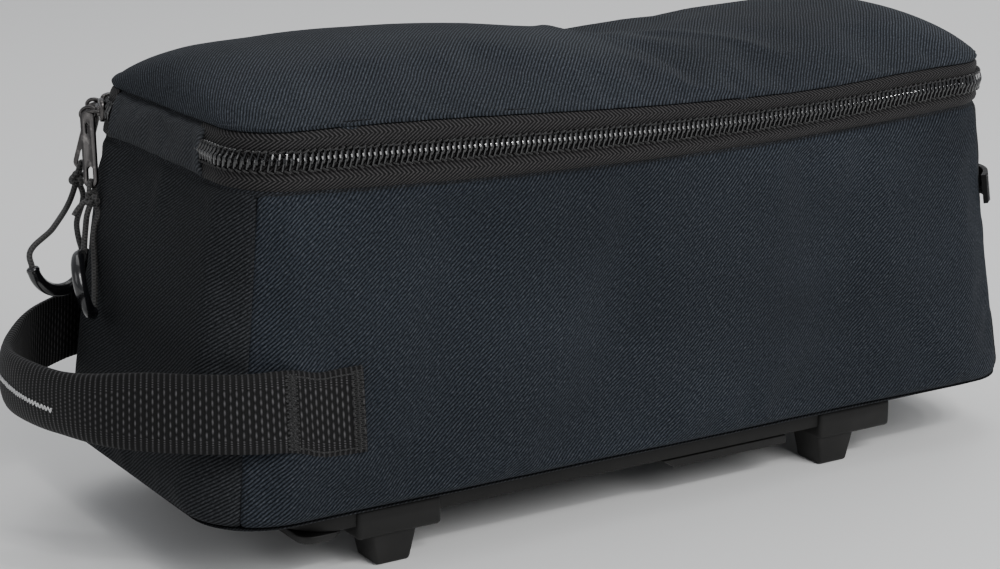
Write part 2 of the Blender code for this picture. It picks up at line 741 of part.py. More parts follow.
def add_slider(label, turn):
    """Slider body over the coil and the bail on it. Returns the bail's middle and its direction."""
    point, along, out = slider_frame(turn)
    start = point + out * GAP
    frame = Matrix((along, Vector((0, 0, 1)), out)).transposed().to_4x4()
    frame.translation = start + out * SLIDER_THICKNESS / 2
    body = bmesh.new()
    bmesh.ops.create_cube(body, size=1)
    size = Matrix.Diagonal((SLIDER_LENGTH, SLIDER_HEIGHT, SLIDER_THICKNESS, 1))
    bmesh.ops.transform(body, matrix=frame @ size, verts=body.verts)
    upright = []
    for edge in body.edges:
        way = (edge.verts[0].co - edge.verts[1].co).normalized()
        if abs(way.dot(out)) > 0.9:
            upright.append(edge)
    bmesh.ops.bevel(body, geom=upright, offset=SLIDER_HEIGHT / 4, segments=2, affect="EDGES")
    part = add_part(f"slider_{label}", body, "slider_metal")
    arch = []
    for k in range(9):
        angle = math.pi * k / 8
        run = BAIL_SPREAD / 2 * math.cos(angle)
        rise = SLIDER_THICKNESS - BAIL_WIRE / 2 + BAIL_RISE * math.sin(angle)
        arch.append(start + along * run + out * rise)
    cut_with(part, f"bail_{label}", welded_tube(arch, BAIL_WIRE), "UNION")
    return start + out * (SLIDER_THICKNESS - BAIL_WIRE / 2 + BAIL_RISE), along


def welded_tube(line, diameter):
    """Tube along a line as one closed mesh, its caps welded."""
    tube = bpy.data.objects.new("tube", tube_curve("tube", line, diameter))
    bpy.context.scene.collection.objects.link(tube)
    evaluated = tube.evaluated_get(bpy.context.evaluated_depsgraph_get())
    mesh = bpy.data.meshes.new_from_object(evaluated)
    bpy.data.objects.remove(tube)
    weld = bmesh.new()
    weld.from_mesh(mesh)
    bmesh.ops.remove_doubles(weld, verts=weld.verts, dist=0.00001)
    return weld


def torus_mesh(centre, axis, radius, wire):
    """Ring of round wire about an axis."""
    side = axis.orthogonal().normalized()
    third = axis.cross(side).normalized()
    mesh = bmesh.new()
    rings = []
    for k in range(16):
        turn = 2 * math.pi * k / 16
        spoke = side * math.cos(turn) + third * math.sin(turn)
        ring = []
        for i in range(8):
            angle = 2 * math.pi * i / 8
            reach = radius + wire / 2 * math.cos(angle)
            ring.append(mesh.verts.new(centre + spoke * reach + axis * wire / 2 * math.sin(angle)))
        rings.append(ring)
    for k, ring in enumerate(rings):
        after = rings[(k + 1) % 16]
        for i in range(8):
            n = (i + 1) % 8
            mesh.faces.new((ring[i], after[i], after[n], ring[n]))
    bmesh.ops.recalc_face_normals(mesh, faces=mesh.faces)
    return mesh


def stadium(radius, start, end, steps):
    """Outline with two round ends, from start to end down its middle."""
    outline = []
    for centre, first in ((start, math.pi), (end, 0.0)):
        for k in range(steps + 1):
            angle = first + math.pi * k / steps
            outline.append((radius * math.cos(angle), centre + radius * math.sin(angle)))
    return outline


def add_tab(label, puller, bail, along):
    """Flat metal tab on an eye that hangs in the bail, with a slot for the cord."""
    eye = bail - Vector((0, 0, EYE_RADIUS - EYE_WIRE / 2 - BAIL_WIRE / 2 - GAP))
    low = bail + Vector(puller["tab_drop"])
    top = eye + (low - eye).normalized() * (EYE_RADIUS - EYE_WIRE / 2)
    down = (low - top).normalized()
    wide = Vector(puller["tab_way"])
    wide = (wide - down * wide.dot(down)).normalized()
    face = wide.cross(down)
    radius = TAB_WIDTH / 2
    length = (low - top).length
    half = TAB_THICKNESS / 2
    slot_low = length - radius
    outline = stadium(radius, radius, length - radius, 6)
    hole = stadium(TAB_SLOT_WIDTH / 2, slot_low - TAB_SLOT_LENGTH + TAB_SLOT_WIDTH, slot_low, 4)

    def layers(shape, reach):
        return [[top + wide * a + down * b + face * z for a, b in shape] for z in (-reach, reach)]

    part = add_part(f"pull_tab_{label}", loft_mesh(layers(outline, half)), "slider_metal")
    cut_with(part, f"eye_{label}", torus_mesh(eye, along, EYE_RADIUS, EYE_WIRE), "UNION")
    cut_with(part, f"slot_{label}", loft_mesh(layers(hole, 2 * half)), "DIFFERENCE")
    return low, down


def add_puller(label, puller, bail, along):
    """Tab, cord knot at its foot, the moulded half-ring grip and the two strands between them."""
    low, down = add_tab(label, puller, bail, along)
    knot_place = low + down * (KNOT_RADIUS + GAP)
    knot = bmesh.new()
    bmesh.ops.create_uvsphere(knot, u_segments=12, v_segments=8, radius=KNOT_RADIUS)
    bmesh.ops.translate(knot, vec=knot_place, verts=knot.verts)
    add_part(f"cord_knot_{label}", knot, "cord")
    middle = low + Vector(puller["grip_drop"])
    chord = Vector(puller["grip_chord"]).normalized()
    bulge = Vector(puller["grip_bulge"])
    bulge = (bulge - chord * bulge.dot(chord)).normalized()
    line = [middle + chord * GRIP_RADIUS]
    for k in range(13):
        angle = math.pi * k / 12
        spoke = chord * math.cos(angle) + bulge * math.sin(angle)
        line.append(middle + bulge * GRIP_LEG + spoke * GRIP_RADIUS)
    line.append(middle - chord * GRIP_RADIUS)
    add_tube(f"puller_grip_{label}", line, GRIP_TUBE, "grip_rubber")
    spread = Vector(puller["cord_spread"]).normalized()
    for number, sign in ((1, 1), (2, -1)):
        way = Vector((0, 0, -math.cos(STRAND_TURN))) + spread * sign * math.sin(STRAND_TURN)
        mouth = middle + chord * GRIP_RADIUS * sign - bulge * GAP
        guides = [low + Vector(guide) for guide in puller["cord_guides"][number - 1]]
        start = knot_place + way * (KNOT_RADIUS + GAP)
        approach = mouth - bulge * CORD_DIAMETER * 1.3
        points = [start, start + way * CORD_DIAMETER, *guides, approach, mouth]
        add_tube(f"puller_cord_{label}{number}", smooth_line(points, CORD_DIAMETER), CORD_DIAMETER, "cord")


def build():
    """Makes every part of the bag."""
    for existing in list(bpy.data.objects):
        bpy.data.objects.remove(existing)
    for name in ("trunk_bag", "cutters"):
        bpy.context.scene.collection.children.link(bpy.data.collections.new(name))
    add_body()
    add_zip()
    add_lid()
    add_adapter()
    add_handle()
    add_lamp_strap()
    for label, turn in SLIDER_PLACES.items():
        bail, along = add_slider(label, turn)
        add_puller(label, PULLERS[label], bail, along)
    # The shapes above are centred on the bag's base: this centres them with the handle
    for part in bpy.data.objects:
        part.data.transform(Matrix.Translation((FRAME_SHIFT, 0, 0)))


build()
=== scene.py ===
"""Looks of a bicycle trunk bag on its rack adapter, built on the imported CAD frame.

The bag is a long box of foam backed twill with a crowned lid, a coil zip round three sides, a
fabric hinge at the handle end, a webbing handle, a lamp strap and a moulded rack adapter.
Metres, +Z up, the feet stand at Z = 0, the handle is at -X and the shown long side at -Y.
"""

import logging
import math
from collections.abc import Callable, Sequence
from dataclasses import dataclass, field
from enum import Enum

import bmesh
import bpy
from mathutils import Matrix, Vector, noise


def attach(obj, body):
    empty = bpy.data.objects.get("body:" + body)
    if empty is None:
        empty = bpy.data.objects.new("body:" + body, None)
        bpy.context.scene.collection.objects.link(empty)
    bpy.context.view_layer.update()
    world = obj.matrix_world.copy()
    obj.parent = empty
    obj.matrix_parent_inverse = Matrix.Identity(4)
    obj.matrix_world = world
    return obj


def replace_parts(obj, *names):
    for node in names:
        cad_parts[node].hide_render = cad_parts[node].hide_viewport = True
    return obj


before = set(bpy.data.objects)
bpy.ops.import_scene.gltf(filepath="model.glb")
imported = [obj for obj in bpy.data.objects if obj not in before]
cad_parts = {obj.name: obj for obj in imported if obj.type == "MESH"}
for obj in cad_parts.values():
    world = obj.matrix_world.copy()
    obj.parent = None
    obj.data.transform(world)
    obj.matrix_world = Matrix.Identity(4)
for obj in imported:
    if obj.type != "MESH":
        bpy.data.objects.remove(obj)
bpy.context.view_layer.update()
LOG = logging.getLogger("trunk_bag")

Point = tuple[float, float, float]
Pair = tuple[float, float]
Line = Sequence[Vector]
Piece = bpy.types.Object
Place = Callable[[float, float], Vector]
StripShape = Callable[[float, float, float, float], Pair]
GAP = 0.0003
CLOTH_UV = "cloth"
COIL_PLACE = 0.53
COIL_PROUD = 0.0010
RIB_PITCH = 0.00195
UP = Vector((0, 0, 1))


# Plain helpers ----------------------------------------------------------------------------------


def lerp(a: float, b: float, share: float) -> float:
    """Value at that share of the way from a to b."""
    return a + (b - a) * share


def smooth(value: float) -> float:
    """Soft step from 0 to 1."""
    t = min(max(value, 0.0), 1.0)
    return t * t * (3 - 2 * t)


def table_value(table: Sequence[Pair], place: float) -> float:
    """Smooth value of a table of (place, value) rows.

    Args:
        table: Rows in rising order of place.
        place: Where to read it.

    Returns:
        The value there, by cubic pieces between the rows.
    """
    rows = [table[0], *table, table[-1]]
    for k in range(1, len(rows) - 2):
        (x0, y0), (x1, y1), (x2, y2), (x3, y3) = rows[k - 1 : k + 3]
        if place <= x2 or k == len(rows) - 3:
            span = x2 - x1
            t = min(max((place - x1) / span, 0.0), 1.0)
            leave = (y2 - y0) / max(x2 - x0, span) * span
            arrive = (y3 - y1) / max(x3 - x1, span) * span
            bend = leave * t * (1 - t) ** 2 - arrive * t * t * (1 - t)
            return lerp(y1, y2, smooth(t)) + bend
    return table[-1][1]


def smooth_line(points: Line, spacing: float) -> list[Vector]:
    """Points on a smooth curve through the given ones.

    Args:
        points: What the curve passes, in order.
        spacing: About how far apart the returned points are.

    Returns:
        The points, evenly spaced from the first to the last given one.
    """
    steps = [(b - a).length for a, b in zip(points, points[1:])]
    ways = [(b - a) / step for a, b, step in zip(points, points[1:], steps)]
    slopes = [ways[0]]
    for k in range(1, len(ways)):
        slopes.append((ways[k - 1] * steps[k] + ways[k] * steps[k - 1]) / (steps[k - 1] + steps[k]))
    slopes.append(ways[-1])
    fine = []
    for k, step in enumerate(steps):
        for i in range(16):
            t = i / 16
            leave = slopes[k] * (t * (1 - t) ** 2 * step)
            arrive = slopes[k + 1] * (t * t * (1 - t) * step)
            fine.append(points[k].lerp(points[k + 1], smooth(t)) + leave - arrive)
    fine.append(points[-1])
    return evenly(fine, spacing)


def evenly(line: Line, spacing: float) -> list[Vector]:
    """The same line with its points evenly spaced, about that far apart.

    Args:
        line: The line.
        spacing: About how far apart.

    Returns:
        Its new points.
    """
    runs = run_lengths(line)
    count = max(round(runs[-1] / spacing), 2)
    found = []
    k = 0
    for i in range(count + 1):
        place = runs[-1] * i / count
        while k < len(line) - 2 and runs[k + 1] < place:
            k += 1
        share = (place - runs[k]) / max(runs[k + 1] - runs[k], 1e-9)
        found.append(line[k].lerp(line[k + 1], min(share, 1.0)))
    return found


def run_lengths(line: Line) -> list[float]:
    """Length along a line up to each of its points.

    Args:
        line: The line.

    Returns:
        The lengths, from 0.
    """
    runs = [0.0]
    for a, b in zip(line, line[1:]):
        runs.append(runs[-1] + (b - a).length)
    return runs


# Modelling helpers ------------------------------------------------------------------------------


def deselect() -> None:
    """Leaves edit mode and selects nothing."""
    if bpy.context.object and bpy.context.object.mode != "OBJECT":
        bpy.ops.object.mode_set(mode="OBJECT")
    for other in bpy.context.selected_objects:
        other.select_set(False)


def activate(piece: Piece) -> None:
    """Makes one piece the only selected and active one.

    Args:
        piece: The piece.
    """
    deselect()
    piece.select_set(True)
    bpy.context.view_layer.objects.active = piece


def fresh(name: str) -> Piece:
    """Names the primitive that was just added and puts its place in its mesh.

    Args:
        name: Its name.

    Returns:
        The piece.
    """
    piece = bpy.context.object
    piece.name = name
    piece.data.name = name
    bpy.ops.object.transform_apply(location=True, rotation=True, scale=True)
    return piece


def choose(piece: Piece, wanted: Callable[[bpy.types.MeshPolygon], bool]) -> None:
    """Enters edit mode with only the wanted faces selected.

    Args:
        piece: The piece.
        wanted: Says for a face whether it is wanted.
    """
    activate(piece)
    bpy.ops.object.mode_set(mode="EDIT")
    bpy.ops.mesh.select_mode(type="FACE")
    bpy.ops.mesh.select_all(action="DESELECT")
    bpy.ops.object.mode_set(mode="OBJECT")
    for face in piece.data.polygons:
        face.select = wanted(face)
    bpy.ops.object.mode_set(mode="EDIT")


def bevelled(piece: Piece, width: float, segments: int = 3, angle: float = 40) -> Piece:
    """Rounds the sharp edges of a piece with a bevel modifier and applies it.

    Args:
        piece: What to round.
        width: Reach of the bevel.
        segments: Steps across it.
        angle: Edges turning more than this, in degrees, are rounded.

    Returns:
        The same piece.
    """
    bevel = piece.modifiers.new("round", "BEVEL")
    bevel.width = width
    bevel.segments = segments
    bevel.limit_method = "ANGLE"
    bevel.angle_limit = math.radians(angle)
    bevel.harden_normals = False
    apply_modifiers(piece)
    return piece


def apply_modifiers(piece: Piece) -> None:
    """Applies every modifier of a piece in order.

    Args:
        piece: The piece.
    """
    activate(piece)
    for modifier in list(piece.modifiers):
        bpy.ops.object.modifier_apply(modifier=modifier.name)


def smooth_shaded(piece: Piece, angle: float = 40) -> Piece:
    """Shades a piece smooth up to that angle, in degrees.

    Args:
        piece: The piece.
        angle: Edges turning more than this stay sharp.

    Returns:
        The same piece.
    """
    activate(piece)
    bpy.ops.object.shade_smooth_by_angle(angle=math.radians(angle))
    return piece


def thickened(piece: Piece, wall: float) -> Piece:
    """Gives an open cloth surface its thickness inward.

    Args:
        piece: The surface.
        wall: The thickness.

    Returns:
        The same piece, closed.
    """
    solidify = piece.modifiers.new("wall", "SOLIDIFY")
    solidify.thickness = wall
    solidify.offset = -1
    apply_modifiers(piece)
    return piece


def refined(piece: Piece) -> Piece:
    """One level of smooth subdivision, applied.

    Args:
        piece: The piece.

    Returns:
        The same piece.
    """
    fine = piece.modifiers.new("fine", "SUBSURF")
    fine.levels = 1
    fine.render_levels = 1
    fine.boundary_smooth = "PRESERVE_CORNERS"
    apply_modifiers(piece)
    return piece

def shaped_grid(name: str, size: Pair, cells: tuple[int, int], place: Place) -> Piece:
    """Grid primitive whose points are moved onto a surface.

    Args:
        name: Name of the piece.
        size: Length and height of the cloth, which its UV map keeps in metres.
        cells: Faces along the length and up the height.
        place: Point of the surface at a share of the length and a share of the height.

    Returns:
        The open surface, facing outward where the height runs up and the length to the right.
    """
    deselect()
    bpy.ops.mesh.primitive_grid_add(x_subdivisions=cells[0], y_subdivisions=cells[1], size=2)
    piece = fresh(name)
    mesh = piece.data
    shares = [((v.co.x + 1) / 2, (v.co.y + 1) / 2) for v in mesh.vertices]
    layer = mesh.uv_layers[0]
    layer.name = CLOTH_UV
    for loop in mesh.loops:
        u, v = shares[loop.vertex_index]
        layer.data[loop.index].uv = (u * size[0], v * size[1])
    for vertex, (u, v) in zip(mesh.vertices, shares):
        vertex.co = place(u, v)
    mesh.update()
    return piece


def measure_cloth(piece: Piece, columns: int, rows: int) -> None:
    """Sets a grid's UV map to the lengths measured on its surface, from its middle.

    Args:
        piece: The grid, its points in rows of columns + 1.
        columns: Faces along it.
        rows: Faces up it.
    """
    points = [v.co for v in piece.data.vertices]
    wide = columns + 1
    middle = rows // 2
    along = run_lengths([points[middle * wide + i] for i in range(wide)])
    spans = []
    for i in range(wide):
        runs = run_lengths([points[j * wide + i] for j in range(rows + 1)])
        spans.append([run - runs[middle] for run in runs])
    layer = piece.data.uv_layers[0]
    for loop in piece.data.loops:
        row, column = divmod(loop.vertex_index, wide)
        layer.data[loop.index].uv = (along[column], spans[column][row])


def wrapped_grid(
    name: str, size: Pair, cells: tuple[int, int], place: Place, angle: float = 60
) -> Piece:
    """Grid primitive rolled into a closed tube, its seam merged and its ends capped.

    Args:
        name: Name of the piece.
        size: Length and girth of the tube, which its UV map keeps in metres.
        cells: Faces along it and round it.
        place: Point of the surface at a share of the length and an angle round it.
        angle: Edges turning more than this, in degrees, stay sharp.

    Returns:
        The tube.
    """
    piece = shaped_grid(name, size, cells, lambda u, v: place(u, 2 * math.pi * (v % 1.0)))
    activate(piece)
    bpy.ops.object.mode_set(mode="EDIT")
    bpy.ops.mesh.select_all(action="SELECT")
    bpy.ops.mesh.remove_doubles(threshold=0.000002)
    bpy.ops.mesh.fill_holes(sides=0)
    bpy.ops.mesh.select_all(action="SELECT")
    bpy.ops.mesh.normals_make_consistent(inside=False)
    bpy.ops.object.mode_set(mode="OBJECT")
    return smooth_shaded(piece, angle)


def ring_tube(
    name: str, line: Line, radius: Callable[[float, float], float], sides: int
) -> Piece:
    """Closed tube along a line.

    Args:
        name: Name of the piece.
        line: Its centreline, evenly spaced.
        radius: Radius at a length along the line and an angle round it.
        sides: Faces round it.

    Returns:
        The tube, its length and girth in its UV map.
    """
    runs = run_lengths(line)
    axes = carried_axes(line)
    count = len(line) - 1

    def place(u: float, angle: float) -> Vector:
        """Point of the tube's surface.

        Args:
            u: Place along, from 0 to 1.
            angle: Angle round the section.

        Returns:
            The point.
        """
        level = round(u * count)
        side, third = axes[level]
        spoke = side * math.cos(angle) + third * math.sin(angle)
        return line[level] + spoke * radius(runs[level], angle)

    girth = 2 * math.pi * radius(runs[-1] / 2, 0.0)
    return wrapped_grid(name, (runs[-1], girth), (count, sides), place)


def flat_plate(name: str, outline: Sequence[Pair], thickness: float) -> Piece:
    """Flat piece with a given outline, its thickness along z and centred there.

    Args:
        name: Name of the piece.
        outline: Its points, counter-clockwise.
        thickness: Its thickness.

    Returns:
        The closed plate, made from a filled circle primitive.
    """
    deselect()
    bpy.ops.mesh.primitive_circle_add(vertices=len(outline), radius=1, fill_type="NGON")
    piece = fresh(name)
    for k, vertex in enumerate(piece.data.vertices):
        vertex.co = (*outline[k], -thickness / 2)
    activate(piece)
    bpy.ops.object.mode_set(mode="EDIT")
    bpy.ops.mesh.select_all(action="SELECT")
    bpy.ops.mesh.extrude_region_move(TRANSFORM_OT_translate={"value": (0, 0, thickness)})
    bpy.ops.mesh.select_all(action="SELECT")
    bpy.ops.mesh.normals_make_consistent(inside=False)
    bpy.ops.object.mode_set(mode="OBJECT")
    return piece


def frame_of(x: Vector, y: Vector, z: Vector, middle: Vector) -> Matrix:
    """Place with three directions as its axes.

    Args:
        x: Its x axis.
        y: Its y axis.
        z: Its z axis.
        middle: Where it is.

    Returns:
        The place.
    """
    place = Matrix((x, y, z)).transposed().to_4x4()
    place.translation = middle
    return place

def placed(piece: Piece, place: Matrix) -> Piece:
    """Moves a piece's mesh to a place.

    Args:
        piece: The piece.
        place: Where it goes.

    Returns:
        The same piece.
    """
    piece.data.transform(place)
    piece.data.update()
    return piece


def cut(piece: Piece, tool: Piece, operation: str = "DIFFERENCE") -> Piece:
    """Cuts a piece with a tool, or melts the tool into it, and removes the tool.

    Args:
        piece: What is cut.
        tool: What cuts it.
        operation: Kind of boolean.

    Returns:
        The same piece.
    """
    boolean = piece.modifiers.new("cut", "BOOLEAN")
    boolean.operation = operation
    boolean.solver = "EXACT"
    boolean.object = tool
    apply_modifiers(piece)
    bpy.data.objects.remove(tool)
    return piece


def block(name: str, low: Point, high: Point) -> Piece:
    """Cube primitive between two corners.

    Args:
        name: Name of the piece.
        low: Its lowest corner.
        high: Its highest corner.

    Returns:
        The block.
    """
    deselect()
    size = [b - a for a, b in zip(low, high)]
    middle = [(a + b) / 2 for a, b in zip(low, high)]
    bpy.ops.mesh.primitive_cube_add(size=1, location=middle, scale=size)
    return fresh(name)


def stadium(radius: float, start: float, end: float, steps: int) -> list[Pair]:
    """Outline with two round ends, their centres at start and end on the y axis.

    Args:
        radius: Of the ends.
        start: y of the first centre.
        end: y of the second centre.
        steps: Steps round each end.

    Returns:
        Its points.
    """
    outline = []
    for centre, first in ((start, math.pi), (end, 0.0)):
        for k in range(steps + 1):
            angle = first + math.pi * k / steps
            outline.append((radius * math.cos(angle), centre + radius * math.sin(angle)))
    return outline


def carried_axes(line: Line) -> list[tuple[Vector, Vector]]:
    """Two cross directions at each point of a line, carried along it without twist.

    Args:
        line: The line.

    Returns:
        The two directions for each point.
    """
    found = []
    side = (line[1] - line[0]).orthogonal().normalized()
    for k in range(len(line)):
        ahead = (line[min(k + 1, len(line) - 1)] - line[max(k - 1, 0)]).normalized()
        side = (side - ahead * side.dot(ahead)).normalized()
        found.append((side, ahead.cross(side)))
    return found


def joined(name: str, pieces: Sequence[Piece]) -> Piece:
    """Joins pieces into one with that name.

    Args:
        name: Name of the joined piece.
        pieces: The pieces.

    Returns:
        The joined piece.
    """
    activate(pieces[0])
    for piece in pieces[1:]:
        piece.select_set(True)
    bpy.ops.object.join()
    pieces[0].name = name
    pieces[0].data.name = name
    return pieces[0]


def repeated(name: str, model: Piece, places: Sequence[Matrix]) -> Piece:
    """Copies of one small model at many places, as one mesh.

    Args:
        name: Name of the joined piece.
        model: The piece that is copied, which is removed.
        places: Where each copy goes.

    Returns:
        The joined piece.
    """
    mesh = bmesh.new()
    for place in places:
        start = len(mesh.verts)
        mesh.from_mesh(model.data)
        mesh.verts.ensure_lookup_table()
        bmesh.ops.transform(mesh, matrix=place, verts=mesh.verts[start:])
    made = bpy.data.meshes.new(name)
    mesh.to_mesh(made)
    mesh.free()
    bpy.data.objects.remove(model)
    piece = bpy.data.objects.new(name, made)
    bpy.context.scene.collection.objects.link(piece)
    return smooth_shaded(piece, 50)


def ride_all(pieces: Sequence[Piece]) -> None:
    """Rides finished pieces on the root and reports each.

    Args:
        pieces: The pieces.
    """
    for piece in pieces:
        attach(piece, "root")
        LOG.info("%s: %d faces", piece.name, len(piece.data.polygons))

# The bag's outlines -----------------------------------------------------------------------------


@dataclass(frozen=True)
class Outline:
    """Outlines of the bag at its base, its lower zip seam and its lid seam, as in the CAD part."""

    base: Point = (0.360, 0.149, 0.029)
    seam: Point = (0.328, 0.129, 0.021)
    lid: Point = (0.327, 0.125, 0.022)
    lid_shift: float = 0.0025
    side_bow: float = 0.003
    base_z: float = 0.0250
    seam_height: float = 0.1115
    seam_sag: float = 0.0052
    band: float = 0.020
    lid_crown: float = 0.0173
    lid_turn: float = 0.0016
    frame_shift: float = 0.0195
    band_shares: tuple = (
        (-1, 0.89),
        (-0.8, 1.0),
        (-0.5, 1.04),
        (0, 0.93),
        (0.4, 0.84),
        (0.75, 0.85),
        (1, 0.76),
    )
    crown_shares: tuple = (
        (-1.0, 0.84),
        (-0.75, 0.86),
        (-0.5, 0.96),
        (-0.2, 0.98),
        (0.05, 0.82),
        (0.25, 0.80),
        (0.5, 0.84),
        (0.72, 0.84),
        (0.85, 0.95),
        (1.0, 0.90),
    )
    end_squareness: float = 12
    side_squareness: float = 2.6

    def ring(self, turn: float, length: float, width: float, corner: float, bow: float = 0.0) -> Pair:
        """Point on a rounded rectangle, from turn 0 at the shown side's handle end round to 8.

        Args:
            turn: Odd whole parts are corners, even ones are sides.
            length: Along X.
            width: Along Y.
            corner: Radius of the corners.
            bow: How far the long sides stand out in their middle.

        Returns:
            Its x and y.
        """
        turn %= 8
        quarter, is_corner = divmod(int(turn), 2)
        part = turn - int(turn)
        halves = (length / 2 - corner, width / 2 - corner)
        along, across = halves if quarter % 2 == 0 else halves[::-1]
        if is_corner:
            angle = part * math.pi / 2
            run = along + corner * math.sin(angle)
            out = across + corner * math.cos(angle)
        else:
            run = lerp(-along, along, part)
            out = across + corner
            if quarter % 2 == 0:
                out += bow * (1 - (run / along) ** 2)
        return ((run, -out), (out, run), (-run, out), (-out, -run))[quarter]

    def seam_share(self, turn: float) -> float:
        """Place along the length, from -1 to 1, of a turn of the seam outline."""
        return self.ring(turn, *self.seam)[0] / (self.seam[0] / 2)

    def seam_z(self, share: float) -> float:
        """Height of the lower zip seam over the feet."""
        return self.base_z + self.seam_height - self.seam_sag * (1 - min(share * share, 1.0))

    def band_height(self, share: float) -> float:
        """Height of the band between the lower zip seam and the lid seam."""
        return self.band * table_value(self.band_shares, share)

    def height_share(self, z: float) -> float:
        """Share of the wall's height at a height over the feet."""
        return (z - self.base_z) / (self.seam_height - self.seam_sag / 2)

    def wall(self, turn: float, height: float, out: float = 0.0) -> Vector:
        """Point of the outer wall, height from 0 at the base to 1 at the lower zip seam.

        Args:
            turn: Turn round the outline.
            height: Share of the height.
            out: How far it stands out.

        Returns:
            The point.
        """
        length, width, corner = (lerp(b, s, height) for b, s in zip(self.base, self.seam))
        x, y = self.ring(turn, length + 2 * out, width + 2 * out, corner + out, self.side_bow * height)
        top = self.seam_z(self.seam_share(turn))
        return Vector((x + self.frame_shift, y, lerp(self.base_z, top, height)))

    def band_at(self, turn: float, share: float, out: float = 0.0) -> Vector:
        """Point of the zip band, a share of the way up from the lower seam to the lid seam.

        Args:
            turn: Turn round the outline.
            share: Share of the band's height.
            out: How far it stands out.

        Returns:
            The point.
        """
        place = self.seam_share(turn)
        shapes = []
        for (length, width, corner), shift, z in (
            (self.seam, 0.0, self.seam_z(place)),
            (self.lid, self.lid_shift, self.seam_z(place) + self.band_height(place)),
        ):
            x, y = self.ring(turn, length + 2 * out, width + 2 * out, corner + out, self.side_bow)
            shapes.append(Vector((x + shift + self.frame_shift, y, z)))
        return shapes[0].lerp(shapes[1], share)

    def lid_at(self, along: float, across: float) -> Vector:
        """Point of the lid's outer surface, both places from -1 to 1.

        Args:
            along: Place along the length.
            across: Place across the width.

        Returns:
            The point.
        """
        length, width, corner = self.lid
        start = length / 2 - corner
        run = abs(along) * length / 2
        half = width / 2
        if run > start:
            dip = min((run - start) / corner, 1.0)
            half += corner * (math.sqrt(1 - dip * dip) - 1)
        else:
            half += self.side_bow * (1 - (run / start) ** 2)
        ends = math.sqrt(max(1 - abs(along) ** self.end_squareness, 0.0))
        sides = max(1 - abs(across) ** self.side_squareness, 0.0) ** 0.75
        crown = self.lid_crown * table_value(self.crown_shares, along) * ends * sides
        z = self.seam_z(along) + self.band_height(along) + self.lid_turn + crown
        return Vector((self.lid_shift + self.frame_shift + along * length / 2, across * half, z))

    def spaced_turns(self, start: float, end: float, height: float, count: int) -> list[float]:
        """Turns at even distances along the wall between two turns.

        Args:
            start: First turn.
            end: Last turn.
            height: Height share at which the distances are measured.
            count: Number of steps.

        Returns:
            count + 1 turns.
        """
        fine = [lerp(start, end, k / 800) for k in range(801)]
        runs = run_lengths([self.wall(turn, height) for turn in fine])
        found = []
        k = 0
        for i in range(count + 1):
            place = runs[-1] * i / count
            while k < 799 and runs[k + 1] < place:
                k += 1
            found.append(lerp(fine[k], fine[k + 1], (place - runs[k]) / (runs[k + 1] - runs[k])))
        return found

    def wall_length(self, start: float, end: float, height: float) -> float:
        """Length of the wall between two turns."""
        return run_lengths([self.wall(lerp(start, end, k / 400), height) for k in range(401)])[-1]


BAG = Outline()


# Finishes ---------------------------------------------------------------------------------------


class Weave(Enum):
    """Ways in which the twill lines lean."""

    RISING = 1.1
    STEEP = 0.8
    SLANTING = 1.5


